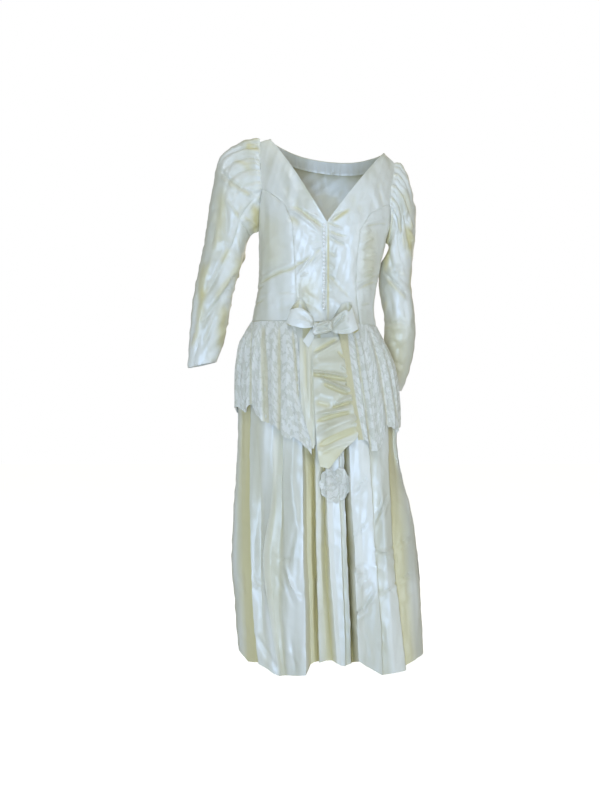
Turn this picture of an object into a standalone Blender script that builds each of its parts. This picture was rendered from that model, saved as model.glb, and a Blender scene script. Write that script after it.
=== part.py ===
"""Long-sleeved satin wedding dress, hanging open and filled out with nobody in it.

Sizes are in millimetres and become metres when a mesh is made. The origin is midway
between the two shoulder seams, the front faces -Y, and +X is the viewer's right.
"""
from collections import namedtuple

import bmesh
import bpy
import numpy as np
from mathutils import Vector
from mathutils.bvhtree import BVHTree

MM = 0.001

# Cloth
SATIN_WALL = 1.4
LACE_WALL = 1.0
SEAM_GAP = 0.3
SIDE_SEAM_HALF = 0.8
LAID_ON_GAP = 0.35

# Main levels, measured down from the shoulders
SHOULDER_TIP_Z = -26.0
PRINCESS_TOP_Z = -150.0
V_POINT_Z = -229.0
ARMPIT_Z = -245.0
WAIST_Z = -489.0
HEM_Z = -1400.0

# Neck and shoulders
NECK_HALF_WIDTH = 155.0
SHOULDER_HALF_WIDTH = 187.0
OPENING_X = -4.0
BACK_NECK_DROP = 24.0
SHOULDER_ROUND = 140.0
SHOULDER_POWER = 1.5
LEFT_TIP_LIFT = 12.0
LEFT_TIP_X = -150.0
LEFT_TIP_RUN = 34.0
LEFT_TIP_Z = -110.0
LEFT_TIP_HEIGHT = 90.0
SHOULDER_SEAM_HALF = 1.2
FACING_HEIGHTS = (0.97, 0.5, 0.12)

# Bust
BUST_X = 82.0
BUST_Z = -245.0
BUST_RISE = 13.0
BUST_WIDTH = 52.0
BUST_HEIGHT = 70.0
BUST_HALF_DEPTH = 120.0
SKIRT_HALF_WIDTH = 240.0

ROUNDNESS = 2.3

# The rings that the whole dress is worked out from: its two sides, and how far it
# comes forward and goes back from the side seams.
Ring = namedtuple("Ring", "z left right front back")
BODY = [
    Ring(60, -194, 194, 104, 90),
    Ring(-100, -192, 190, 106, 92),
    Ring(-170, -188, 181, 110, 94),
    Ring(-250, -187, 161, 106, 94),
    Ring(-300, -187, 150, 101, 90),
    Ring(-350, -187, 141, 95, 85),
    Ring(-400, -190, 132, 90, 81),
    Ring(-440, -197, 129, 88, 80),
    Ring(-489, -208, 135, 90, 83),
    Ring(-530, -224, 149, 98, 93),
    Ring(-600, -240, 175, 109, 107),
    Ring(-700, -244, 189, 121, 119),
    Ring(-830, -246, 193, 134, 129),
    Ring(-916, -251, 208, 142, 135),
    Ring(-1000, -257, 231, 149, 139),
    Ring(-1130, -261, 249, 157, 144),
    Ring(-1250, -254, 258, 163, 148),
    Ring(-1400, -245, 263, 170, 152),
]

# The dress hangs lower on one shoulder: height lost for each millimetre towards +X.
Lean = namedtuple("Lean", "z slope")
TILT = [Lean(60, 0.115), Lean(-230, 0.11), Lean(-330, 0.06), Lean(-489, 0.034), Lean(-700, 0.0)]

# Height of the shoulder line by distance from the middle, as a share of half the width.
Shoulder = namedtuple("Shoulder", "share z")
SHOULDER_LINE = [Shoulder(0.0, 28), Shoulder(0.5, 18), Shoulder(0.80, 0), Shoulder(0.97, -26),
                 Shoulder(1.0, -31)]

# Princess seams, and above them the armhole edges, on the front and on the back.
Seam = namedtuple("Seam", "z left right")
FRONT_SEAMS = [
    Seam(-489, -84, 86), Seam(-405, -86, 76), Seam(-330, -90, 77), Seam(-240, -97, 86),
    Seam(-190, -118, 114), Seam(-150, -177, 165), Seam(-100, -180, 171), Seam(-60, -184, 180),
    Seam(-26, -187, 187),
]
BACK_SEAMS = [
    Seam(-489, -108, 38), Seam(-405, -108, 40), Seam(-330, -112, 52), Seam(-240, -124, 84),
    Seam(-190, -138, 122), Seam(-150, -160, 160), Seam(-100, -170, 170), Seam(-60, -180, 180),
    Seam(-26, -187, 187),
]

# Cutting lines of the front: heights on the princess seam and on the opening or V edge.
Row = namedtuple("Row", "seam_z centre_z")
PANEL_ROWS = [
    Row(-489, -489), Row(-445, -445), Row(-405, -405), Row(-365, -365), Row(-325, -325),
    Row(-285, -287), Row(-250, -257), Row(-220, -229), Row(-195, -197), Row(-170, -165),
    Row(-150, -130), Row(-100, -85), Row(-60, -42), Row(-26, 0),
]
PRINCESS_ROWS = 11
FRONT_COLUMNS = 6
SIDE_COLUMNS = 5
BACK_SHARES = [-1.0, -0.83, -0.64, -0.43, -0.21, 0.0, 0.21, 0.43, 0.64, 0.83, 1.0]

# Sleeves, from the shoulder to the cuff: the outer and the inner side seen from the
# front, half the depth, where the middle lies front to back, how much of the
# armhole's own shape is left, and how deep the gathers are.
Cuff = namedtuple("Cuff", "outer_x outer_z inner_x inner_z depth y set_in gather")
LEFT_SLEEVE = [
    Cuff(-203, 20, -193, -226, 66, 0, 0.9, 3.0),
    Cuff(-230, 14, -199, -231, 68, 0, 0.6, 7.0),
    Cuff(-266, -4, -206, -239, 69, 0, 0.3, 7.5),
    Cuff(-295, -34, -213, -249, 67, 0, 0.1, 6.5),
    Cuff(-310, -95, -222, -266, 63, 0, 0, 5.0),
    Cuff(-325, -185, -232, -298, 59, 0, 0, 2.5),
    Cuff(-337, -270, -239, -330, 54, -2, 0, 0.5),
    Cuff(-355, -358, -252, -378, 50, -4, 0, 0),
    Cuff(-368, -435, -265, -434, 47, -6, 0, 0),
    Cuff(-375, -520, -279, -516, 42, -9, 0, 0),
    Cuff(-381, -608, -302, -592, 36, -12, 0, 0),
]
RIGHT_SLEEVE = [
    Cuff(201, -46, 168, -264, 64, 2, 0.9, 3.0),
    Cuff(219, -74, 171, -270, 66, 5, 0.6, 6.5),
    Cuff(232, -110, 171, -277, 66, 9, 0.3, 7.0),
    Cuff(240, -146, 168, -286, 64, 14, 0.1, 6.5),
    Cuff(246, -176, 162, -297, 61, 20, 0, 5.0),
    Cuff(245, -243, 152, -315, 57, 27, 0, 2.5),
    Cuff(239, -310, 147, -344, 52, 36, 0, 0.5),
    Cuff(236, -382, 150, -396, 49, 46, 0, 0),
    Cuff(248, -458, 164, -464, 46, 56, 0, 0),
    Cuff(250, -530, 164, -530, 42, 68, 0, 0),
    Cuff(238, -606, 160, -600, 38, 90, 0, 0),
    Cuff(219, -670, 147, -650, 34, 112, 0, 0),
]
GATHERS = 9
GATHER_STEPS = 4
UNDERARM_STEPS = 6
GATHERED_HALF_TURN = np.radians(130)
ARMHOLE_CLEAR = 1.5

# Skirt folds: where each lies at the hip, half way and at the hem, half its width
# high up and at the hem, and its depth at the waist, half way and at the hem. The
# tuck slides the bottom of the fold sideways, under the panel beside it.
HIP_Z = -700.0
MID_Z = -950.0
Fold = namedtuple("Fold", "x_hip x_mid x_hem half_mid half_hem d_top d_mid d_hem tuck")
FRONT_FOLDS = [
    Fold(-222, -229, -216, 12, 9, 2, 26, 14, 0.0),
    Fold(-186, -190, -186, 6, 5, 3, 7, 3, -0.4),
    Fold(-128, -134, -158, 7, 8, 3, 15, 13, 0.5),
    Fold(-98, -96, -100, 5, 6, 3, 9, 5, -0.4),
    Fold(-47, -44, -38, 5, 5, 0, 6, 24, 0.3),
    Fold(-14, -12, -10, 8, 9, 0, 2, 30, 0.0),
    Fold(30, 42, 66, 6, 8, 0, 4, 32, -0.5),
    Fold(98, 112, 142, 6, 8, 3, 12, 10, 0.4),
    Fold(150, 182, 208, 15, 9, 3, 30, 20, 0.3),
    Fold(171, 214, 234, 5, 6, 2, 8, 10, 0.0),
]
BACK_FOLDS = [
    Fold(-214, -224, -214, 8, 10, 3, 16, 20, 0.2),
    Fold(-170, -176, -170, 7, 10, 3, 18, 26, -0.3),
    Fold(-126, -130, -122, 8, 11, 4, 20, 24, 0.3),
    Fold(-82, -84, -76, 7, 9, 3, 14, 28, 0.2),
    Fold(-40, -38, -30, 9, 12, 4, 22, 30, -0.3),
    Fold(6, 10, 20, 7, 10, 3, 16, 22, 0.3),
    Fold(48, 56, 68, 8, 11, 4, 20, 28, -0.2),
    Fold(90, 102, 118, 7, 9, 3, 15, 24, 0.3),
    Fold(130, 148, 168, 8, 10, 3, 18, 26, -0.3),
    Fold(164, 192, 214, 7, 9, 2, 14, 18, 0.0),
]
WAIST_DRAW = 0.86
WAIST_SHIFT = -4.0
FOLD_PROFILE = [(-1.0, 0.0), (-0.35, 1.0), (0.35, 1.0), (1.0, 0.0)]
PLAIN_STEP = 34.0
LEAST_STEP = 2.6
SKIRT_LEVELS = [-489.6, -530, -600, -700, -810, -900, -990, -1110, -1250, -1400]

# The hollow between the two front falls of the skirt.
Hollow = namedtuple("Hollow", "z left_x left_foot right_foot right_x depth lift")
HOLLOW = [
    Hollow(-489, -62, -54, 30, 60, 0, 0),
    Hollow(-760, -66, -59, 38, 76, 2, 0),
    Hollow(-950, -65, -61, 46, 98, 30, 0),
    Hollow(-1150, -61, -58, 56, 112, 52, 0),
    Hollow(-1400, -56, -55, 70, 126, 70, 14),
]

# Lace overskirt: its free front edges and its lower edge.
Edge = namedtuple("Edge", "z left right")
LACE_FRONT_EDGE = [Edge(-490, -88, 42), Edge(-640, -70, 57), Edge(-800, -54, 80)]
Low = namedtuple("Low", "share z")
LACE_LOW_LEFT = [Low(0, -716), Low(0.3, -728), Low(0.55, -752), Low(0.8, -790), Low(1, -808)]
LACE_LOW_RIGHT = [Low(0, -792), Low(0.2, -826), Low(0.42, -812), Low(0.65, -778), Low(1, -770)]
LACE_LOW_BACK = [Low(0, -770), Low(0.25, -786), Low(0.5, -796), Low(0.75, -768), Low(1, -716)]
LACE_TOP_Z = -490.6
LACE_TOP_OUT = 1.6
LACE_OUT = 3.4
LACE_WAVE = 2.6
LACE_PHASE = 0.6
LACE_FALL = 0.22
LACE_LEVELS = (0.0, 0.16, 0.36, 0.58, 0.8, 1.0)
SCALLOP = 7.0
SCALLOP_STEPS = 4

# What lies over the front of the skirt, from its top down: its two edges and how far
# it stands out from the dress form. A ruched drape, a plain sash end beside it, the
# short end of the bow, and the lace motif below.
Strip = namedtuple("Strip", "left_x left_z right_x right_z out")
DRAPE = [
    Strip(-44, -536, 27, -528, 2.2), Strip(-41, -600, 40, -590, 4.0), Strip(-38, -668, 52, -655, 4.0),
    Strip(-35, -740, 64, -722, 4.0), Strip(-32, -800, 75, -786, 4.0), Strip(-29, -834, 77, -803, 4.0),
    Strip(-26, -866, 8, -862, 4.0),
]
DRAPE_RUCHE = 4.5
DRAPE_RUCHES = 6
DRAPE_SLANT = 0.9
RUCHE_LEFT = 0.35
SASH = [
    Strip(-77, -534, -50, -534, 2.4), Strip(-78, -600, -47, -600, 10.5),
    Strip(-70, -700, -39, -700, 11.5), Strip(-64, -806, -34, -812, 11.5),
    Strip(-54, -834, -46, -832, 11.5),
]
BOW_END = [
    Strip(-60, -517, -50, -524, 4.2), Strip(-66, -532, -51, -540, 5.0), Strip(-74, -547, -55, -558, 7.4),
]
APPLIQUE = [
    Strip(8, -868, 26, -864, 0), Strip(-14, -884, 46, -880, 0), Strip(-23, -912, 58, -908, 0),
    Strip(-18, -940, 54, -938, 0), Strip(2, -950, 32, -948, 0),
]
APPLIQUE_REACH = 6.0

# Bow loops, from the knot outwards: their lower and upper edges, and half their depth.
Loop = namedtuple("Loop", "low_x low_z high_x high_z depth")
BOW_LEFT = [Loop(-49, -515, -48, -489, 3), Loop(-68, -514, -53, -455, 10),
            Loop(-90, -506, -62, -433, 15), Loop(-109, -488, -74, -423, 13)]
BOW_RIGHT = [Loop(31, -520, 30, -492, 3), Loop(46, -521, 38, -466, 10),
             Loop(66, -518, 49, -446, 15), Loop(84, -508, 62, -432, 13)]
BOW_SHARES = [0.0, 0.35, 0.7, 1.0]
BOW_FRONT_DROP = 0.24
BOW_FULLNESS = 0.85
BOW_EDGE_PINCH = 0.35
BOW_CLEAR = 0.8
KNOT_X = -9.0
KNOT_Z = -503.0
KNOT_HALF = (38.0, 17.0, 27.0)
KNOT_SQUARENESS = 0.75

# Covered buttons beside the front opening
BUTTONS = 23
BUTTON_X = -11.5
BUTTON_TOP_Z = -239.0
BUTTON_PITCH = 9.8
BUTTON_RADIUS = 3.75
BUTTON_DOME = 0.7

SATIN_COLOUR = (0.80, 0.80, 0.70, 1)
LACE_COLOUR = (0.84, 0.82, 0.72, 1)
SATIN_ROUGHNESS = 0.35
LACE_ROUGHNESS = 0.75


def read(table, key, name, at):
    """Smooth curve through one column of a table, level past its first and last row."""
    rows = sorted((getattr(row, key), getattr(row, name)) for row in table)
    xs = np.array([row[0] for row in rows], float)
    ys = np.array([row[1] for row in rows], float)
    at = np.clip(np.asarray(at, float), xs[0], xs[-1])
    slopes = np.gradient(ys, xs)
    i = np.clip(np.searchsorted(xs, at) - 1, 0, len(xs) - 2)
    h = xs[i + 1] - xs[i]
    t = (at - xs[i]) / h
    rise = t * t * (3 - 2 * t)
    return (ys[i] * (1 - rise) + ys[i + 1] * rise
            + h * slopes[i] * t * (1 - t) ** 2 - h * slopes[i + 1] * t * t * (1 - t))


def read_straight(table, key, name, at):
    """Straight runs between the rows of a table."""
    rows = sorted((getattr(row, key), getattr(row, name)) for row in table)
    return np.interp(at, [row[0] for row in rows], [row[1] for row in rows])


def angle_at(x, z, back=False):
    """Angle round the ring at height z of a point x: 0 at the front, a half turn at the back."""
    left = read(BODY, "z", "left", z)
    right = read(BODY, "z", "right", z)
    share = np.clip((x - (left + right) / 2) / ((right - left) / 2), -1, 1)
    turn = np.arcsin(np.abs(share) ** (ROUNDNESS / 2)) * np.sign(share)
    return np.pi - turn if back else turn


def body(turn, z):
    """Point of the smooth dress form at an angle and a height, before folds."""
    turn, z = np.broadcast_arrays(np.asarray(turn, float), np.asarray(z, float))
    left = read(BODY, "z", "left", z)
    right = read(BODY, "z", "right", z)
    sine, cosine = np.sin(turn), np.cos(turn)
    share = np.sign(sine) * np.abs(sine) ** (2 / ROUNDNESS)
    x = (left + right) / 2 + (right - left) / 2 * share
    forward = np.abs(cosine) ** (2 / ROUNDNESS)
    front = cosine >= 0
    reach = np.where(front, read(BODY, "z", "front", z), read(BODY, "z", "back", z))
    line = read(SHOULDER_LINE, "share", "z", np.abs(share))
    drop = np.clip((line - z) / SHOULDER_ROUND, 0, 1)
    rounded = (1 - (1 - drop) ** SHOULDER_POWER) ** (1 / SHOULDER_POWER)
    depth = reach * forward * rounded + SHOULDER_SEAM_HALF * (1 - rounded)
    spread = (np.abs(x - OPENING_X) - BUST_X) / BUST_WIDTH
    bust = BUST_RISE * np.exp(-spread ** 2 - ((z - BUST_Z) / BUST_HEIGHT) ** 2)
    y = np.where(front, -depth - bust * forward, depth)
    lift = LEFT_TIP_LIFT * np.clip((LEFT_TIP_X - x) / LEFT_TIP_RUN, 0, 1)
    lift = lift * np.clip((z - LEFT_TIP_Z) / LEFT_TIP_HEIGHT, 0, 1)
    return np.stack([x, y, z - read(TILT, "z", "slope", z) * x + lift], axis=-1)


def outward(turn, z):
    """Level direction away from the middle of the ring."""
    left = read(BODY, "z", "left", z)
    right = read(BODY, "z", "right", z)
    wide = (right - left) / 2
    front = np.cos(turn) >= 0
    deep = np.where(front, read(BODY, "z", "front", z), read(BODY, "z", "back", z))
    point = body(turn, z)
    x = (point[..., 0] - (left + right) / 2) / wide ** 2
    y = point[..., 1] / deep ** 2
    length = np.sqrt(x * x + y * y)
    return np.stack([x / length, y / length, np.zeros_like(x)], axis=-1)


def material(name, colour, roughness):
    made = bpy.data.materials.new(name)
    made.use_nodes = True
    shader = made.node_tree.nodes["Principled BSDF"]
    shader.inputs["Base Color"].default_value = colour
    shader.inputs["Roughness"].default_value = roughness
    return made


def add_object(name, mesh, colour, roughness):
    made = bpy.data.objects.new(name, mesh)
    mesh.materials.append(material(name, colour, roughness))
    dress.objects.link(made)
    return made


def cloth(name, grid, wall=SATIN_WALL, closed=False, lace=False):
    """Panel of cloth through a grid of points; its wall lies behind them."""
    rows, columns = grid.shape[:2]
    around = columns if closed else columns - 1
    faces = []
    for r in range(rows - 1):
        for c in range(around):
            after = (c + 1) % columns
            faces.append((r * columns + c, r * columns + after,
                          (r + 1) * columns + after, (r + 1) * columns + c))
    mesh = bpy.data.meshes.new(name)
    mesh.from_pydata((grid.reshape(-1, 3) * MM).tolist(), [], faces)
    mesh.shade_smooth()
    colour, roughness = (LACE_COLOUR, LACE_ROUGHNESS) if lace else (SATIN_COLOUR, SATIN_ROUGHNESS)
    made = add_object(name, mesh, colour, roughness)
    solid = made.modifiers.new("Wall", "SOLIDIFY")
    solid.thickness = wall * MM
    solid.offset = -1
    return made


def between(first, last, steps):
    """Rows of points spread evenly from one edge to the other."""
    share = np.linspace(0, 1, steps + 1)
    return first[:, None] * (1 - share) + last[:, None] * share


def v_edge(z):
    """Distance of the neck edge from the opening; nothing below the point of the V."""
    rise = (np.asarray(z, float) - V_POINT_Z) / (0 - V_POINT_Z)
    return (NECK_HALF_WIDTH + OPENING_X) * np.clip(rise, 0, 1)


def centre_front(side):
    """Front panel from the opening and V edge out to the princess seam and armhole."""
    seam_z = np.array([row.seam_z for row in PANEL_ROWS], float)
    centre_z = np.array([row.centre_z for row in PANEL_ROWS], float)
    sign = 1 if side == "right" else -1
    seam_x = read_straight(FRONT_SEAMS, "z", side, seam_z)
    neck_end = NECK_HALF_WIDTH * sign
    edge_x = OPENING_X + (neck_end - OPENING_X) * v_edge(centre_z) / v_edge(0)
    inner = angle_at(edge_x + sign * SEAM_GAP / 2, centre_z)
    outer = angle_at(seam_x - sign * SEAM_GAP / 2, seam_z)
    turns = between(inner, outer, FRONT_COLUMNS)
    heights = between(centre_z, seam_z, FRONT_COLUMNS)
    return body(turns, heights)[:, ::sign]


def side_panel(side, back):
    """Panel between a princess seam and the side seam, up to the armhole."""
    sign = 1 if side == "right" else -1
    seam_z = np.array([row.seam_z for row in PANEL_ROWS[:PRINCESS_ROWS]], float)
    seam_x = read_straight(BACK_SEAMS if back else FRONT_SEAMS, "z", side, seam_z)
    side_z = WAIST_Z + (seam_z - WAIST_Z) * (ARMPIT_Z - WAIST_Z) / (PRINCESS_TOP_Z - WAIST_Z)
    inner = angle_at(seam_x + sign * SEAM_GAP / 2, seam_z, back)
    quarter = sign * np.pi / 2
    gap_turn = SEAM_GAP / 2 / BUST_HALF_DEPTH
    side_turn = quarter + (sign if back else -sign) * gap_turn
    if back and sign < 0:
        side_turn = 1.5 * np.pi - gap_turn
    outer = np.full(len(seam_z), side_turn)
    turns = between(inner, outer, SIDE_COLUMNS)
    heights = between(seam_z, side_z, SIDE_COLUMNS)
    grid = body(turns, heights)
    return grid[:, ::sign] if not back else grid[:, ::-sign]


def back_neck_z(share):
    """Height of the back's top edge: the shoulder seams, and the neckline between them."""
    neck = NECK_HALF_WIDTH / SHOULDER_HALF_WIDTH
    curve = -BACK_NECK_DROP * (1 - (np.clip(np.abs(share) / neck, 0, 1)) ** 2.5)
    seam = read(SHOULDER_LINE, "share", "z", np.abs(share))
    return np.where(np.abs(share) < neck, curve, seam)


def centre_back():
    heights, turns = [], []
    shares = np.array(BACK_SHARES)
    for row in PANEL_ROWS:
        z = row.seam_z
        left = read_straight(BACK_SEAMS, "z", "left", z) + SEAM_GAP / 2
        right = read_straight(BACK_SEAMS, "z", "right", z) - SEAM_GAP / 2
        x = (left + right) / 2 + (right - left) / 2 * shares
        lift = np.clip((z - PRINCESS_TOP_Z) / (SHOULDER_TIP_Z - PRINCESS_TOP_Z), 0, 1)
        level = z + lift * (back_neck_z(shares) - SHOULDER_TIP_Z)
        heights.append(level)
        turns.append(angle_at(x, level, back=True))
    return body(np.array(turns), np.array(heights))[:, ::-1]


def grid_normals(grid):
    """Outward directions at the points of an open grid."""
    across = np.gradient(grid, axis=1)
    up = np.gradient(grid, axis=0)
    normal = np.cross(across, up)
    return normal / np.linalg.norm(normal, axis=-1, keepdims=True)


def neck_facing(back_panel):
    """Band inside the back neckline, made from the back's own points moved in."""
    inside = back_panel[-2:, 1:-1]
    normal = grid_normals(back_panel)[-2:, 1:-1]
    rows = []
    for height in FACING_HEIGHTS:
        point = inside[0] * (1 - height) + inside[1] * height
        direction = normal[0] * (1 - height) + normal[1] * height
        rows.append(point - direction * (SATIN_WALL + 3 * LAID_ON_GAP))
    return np.array(rows)[::-1]


def armhole(side, panels):
    """Closed line of the armhole through the corners of the panels round it."""
    front, side_front, side_back, back = panels
    sign = 1 if side == "right" else -1
    outer = -1 if sign > 0 else 0
    down_front = front[PRINCESS_ROWS - 1:, outer][::-1]
    across_front = side_front[-1][::sign]
    across_back = side_back[-1][::-sign][::-1]
    up_back = back[PRINCESS_ROWS - 1:, 0 if sign > 0 else -1]
    return np.concatenate([down_front, across_front[1:], across_back[1:-1], up_back])


def along_line(line, share):
    """Points at shares of the length of a closed line."""
    closed = np.concatenate([line, line[:1]])
    steps = np.linalg.norm(np.diff(closed, axis=0), axis=1)
    length = np.concatenate([[0], np.cumsum(steps)]) / steps.sum()
    return np.stack([np.interp(share, length, closed[:, k]) for k in range(3)], axis=-1)


def sleeve_turns():
    """Angles round a sleeve from the top: close together where the head is gathered."""
    half = GATHERED_HALF_TURN
    gathered = np.linspace(-half, half, GATHERS * GATHER_STEPS + 1)
    under = np.linspace(half, 2 * np.pi - half, UNDERARM_STEPS + 1)[1:-1]
    return np.concatenate([gathered, under])


def sleeve(side, table, line):
    """Gathered sleeve: the armhole line first, then one ring for each row of its table."""
    sign = 1 if side == "right" else -1
    turns = sleeve_turns()
    share = (turns / (2 * np.pi)) % 1
    rings = [along_line(line, share) + np.array([sign * ARMHOLE_CLEAR, 0, 0])]
    gathered = np.abs(turns) <= GATHERED_HALF_TURN
    wave = np.cos(turns * GATHERS * np.pi / GATHERED_HALF_TURN) * gathered
    top, pit = rings[0][GATHERS * GATHER_STEPS // 2], along_line(line, np.array([0.5]))[0]
    near_top = np.cos(turns / 2)[:, None] ** 2
    for row in table:
        outer = np.array([row.outer_x, row.y, row.outer_z], float)
        inner = np.array([row.inner_x, row.y, row.inner_z], float)
        middle = (outer + inner) / 2
        half = (outer - inner) / 2
        swell = 1 + row.gather * wave / np.linalg.norm(half)
        across = np.cos(turns) * swell
        deep = -np.sin(turns) * swell
        ring = middle + across[:, None] * half
        ring[:, 1] += row.depth * deep
        own = rings[0] + (outer - top) * near_top + (inner - pit) * (1 - near_top)
        rings.append(ring * (1 - row.set_in) + own * row.set_in)
    grid = np.array(rings)
    return grid[:, ::-1] if sign > 0 else grid


def fold_columns(folds, z, back):
    """Positions, depths and sideways slides of the skirt's fold lines at one height."""
    low = float(np.interp(-z, [-WAIST_Z, -MID_Z, -HEM_Z], [0, 1, 2]))
    xs, depths, slides = [], [], []
    for fold in folds:
        waist_x = fold.x_hip * WAIST_DRAW + WAIST_SHIFT
        x = np.interp(low, [0, (HIP_Z - WAIST_Z) / (MID_Z - WAIST_Z), 1, 2],
                      [waist_x, fold.x_hip, fold.x_mid, fold.x_hem])
        half = np.interp(low, [0, 1, 2], [fold.half_mid * WAIST_DRAW, fold.half_mid, fold.half_hem])
        depth = np.interp(low, [0, 1, 2], [fold.d_top, fold.d_mid, fold.d_hem])
        for place, share in FOLD_PROFILE:
            xs.append(x + place * half)
            depths.append(depth * share)
            slides.append(fold.tuck * half * share)
    if not back:
        hollow = [float(read(HOLLOW, "z", name, z)) for name in Hollow._fields[1:5]]
        xs += hollow
        depths += [0.0] * 4
        slides += [0.0] * 4
    order = np.argsort(xs, kind="stable")
    return np.array(xs)[order], np.array(depths)[order], np.array(slides)[order]


def hollow_depth(x, z):
    """How far the middle of the skirt's front lies back between its two falls."""
    knots = [float(read(HOLLOW, "z", name, z)) for name in Hollow._fields[1:5]]
    full = float(read(HOLLOW, "z", "depth", z))
    return np.interp(x, knots, [0, full, full, 0])


def spread_out(xs, low, high):
    """Keeps neighbouring columns at least a wall or so apart between two ends."""
    xs = np.array(xs, float)
    for i in range(len(xs)):
        floor = low if i == 0 else xs[i - 1] + LEAST_STEP
        xs[i] = max(xs[i], floor)
    for i in range(len(xs) - 1, -1, -1):
        roof = high if i == len(xs) - 1 else xs[i + 1] - LEAST_STEP
        xs[i] = min(xs[i], roof)
    return xs


def plain_columns(folds, back):
    """Where plain columns go between folds that stand far apart, as (after, share)."""
    xs, _, _ = fold_columns(folds, MID_Z, back)
    ends = [float(read(BODY, "z", "left", MID_Z))] + list(xs) + [float(read(BODY, "z", "right", MID_Z))]
    extra = []
    for i, (start, stop) in enumerate(zip(ends[:-1], ends[1:])):
        count = int((stop - start) // PLAIN_STEP)
        extra += [(i, (k + 1) / (count + 1)) for k in range(count)]
    return extra


def skirt(folds, back):
    """Half of the pleated skirt, from side seam to side seam."""
    extra = plain_columns(folds, back)
    rows = []
    for z in SKIRT_LEVELS:
        left = float(read(BODY, "z", "left", z))
        right = float(read(BODY, "z", "right", z))
        xs, depths, slides = fold_columns(folds, z, back)
        xs = spread_out(xs, left + LEAST_STEP, right - LEAST_STEP)
        xs = np.concatenate([[left], xs, [right]])
        depths = np.concatenate([[0], depths, [0]])
        slides = np.concatenate([[0], slides, [0]])
        added = [(xs[i] * (1 - s) + xs[i + 1] * s, depths[i] * (1 - s) + depths[i + 1] * s, 0.0)
                 for i, s in extra]
        table = sorted(list(zip(xs, depths, slides)) + added)
        xs, depths, slides = (np.array(column, float) for column in zip(*table))
        turn = angle_at(xs, z, back)
        turn[0] += (-1 if back else 1) * SIDE_SEAM_HALF / SKIRT_HALF_WIDTH
        turn[-1] -= (-1 if back else 1) * SIDE_SEAM_HALF / SKIRT_HALF_WIDTH
        inward = depths if back else depths + hollow_depth(xs, z)
        point = body(turn, z) - outward(turn, z) * inward[:, None]
        point[:, 0] += slides
        if not back:
            point[:, 2] += hollow_depth(xs, z) / HOLLOW[-1].depth * float(read(HOLLOW, "z", "lift", z))
        rows.append(point)
    grid = np.array(rows)[::-1]
    return grid[:, ::-1] if back else grid


def lace(turn_start, turn_stop, low, waves):
    """Lace overskirt panel between two edges given as angles at each height."""
    columns = waves * SCALLOP_STEPS
    share = np.linspace(0, 1, columns + 1)
    low_z = read(low, "share", "z", share) + SCALLOP * np.abs(np.sin(share * waves * np.pi)) - SCALLOP
    rows = []
    for level in LACE_LEVELS:
        z = LACE_TOP_Z + (low_z - LACE_TOP_Z) * level
        start, stop = turn_start(z), turn_stop(z)
        turn = start * (1 - share) + stop * share
        fall = min(1, level / LACE_FALL)
        ripple = LACE_WAVE * (1 - np.cos(share * waves * np.pi * 2 + LACE_PHASE)) * fall
        out = LACE_TOP_OUT + (LACE_OUT - LACE_TOP_OUT) * fall + ripple
        rows.append(body(turn, z) + outward(turn, z) * out[:, None])
    return np.array(rows)[::-1]


def strip_points(table, rows, columns):
    """Places across a strip, how far out they stand, and how far down and across they are."""
    down = np.linspace(0, len(table) - 1, rows + 1)
    values = np.array(table, float)
    lines = np.array([[np.interp(at, range(len(table)), values[:, k]) for k in range(5)] for at in down])
    share = np.linspace(0, 1, columns + 1)
    x = lines[:, 0:1] * (1 - share) + lines[:, 2:3] * share
    z = lines[:, 1:2] * (1 - share) + lines[:, 3:4] * share
    return x, z, lines[:, 4:5], down[:, None] / (len(table) - 1), share


def laid_strip(table, rows, columns, ruche=0.0):
    """Cloth laid over the front of the skirt, following its form a little way out."""
    x, z, out, down, share = strip_points(table, rows, columns)
    turn = angle_at(x, z)
    phase = down * DRAPE_RUCHES + DRAPE_SLANT * share
    ridge = ruche * (1 - np.cos(2 * np.pi * phase)) * (RUCHE_LEFT + (1 - RUCHE_LEFT) * share)
    return (body(turn, z) + outward(turn, z) * (out + ridge)[..., None])[::-1]


def front_surface(*pieces):
    """Finds the foremost outside point of some pieces at a place seen from the front."""
    trees = []
    for piece in pieces:
        points = [vertex.co.copy() for vertex in piece.data.vertices]
        faces = [tuple(face.vertices) for face in piece.data.polygons]
        trees.append(BVHTree.FromPolygons(points, faces))

    def depth_at(x, z):
        hits = [tree.ray_cast(Vector((x * MM, -1, z * MM)), Vector((0, 1, 0)))[0] for tree in trees]
        found = [hit.y / MM for hit in hits if hit]
        return min(found) if found else None
    return depth_at


def applique(surface):
    """Lace motif that lies on the skirt's front, made from the skirt's own surface."""
    x, z, _, _, _ = strip_points(APPLIQUE, len(APPLIQUE) - 1, 8)
    near = (-APPLIQUE_REACH, 0, APPLIQUE_REACH)
    y = np.array([[min(surface(px + dx, pz + dz) for dx in near for dz in near)
                   for px, pz in zip(*row)] for row in zip(x, z)])
    return np.stack([x, y - LACE_WALL - LAID_ON_GAP, z], axis=-1)[::-1]


def seated(shape, surface):
    """Moves points forward until they just clear the surface behind them."""
    flat = shape.reshape(-1, 3)
    behind = [(surface(x, z), y) for x, y, z in flat]
    forward = min(found - y for found, y in behind if found is not None)
    return shape + np.array([0, forward - BOW_CLEAR, 0])


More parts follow.
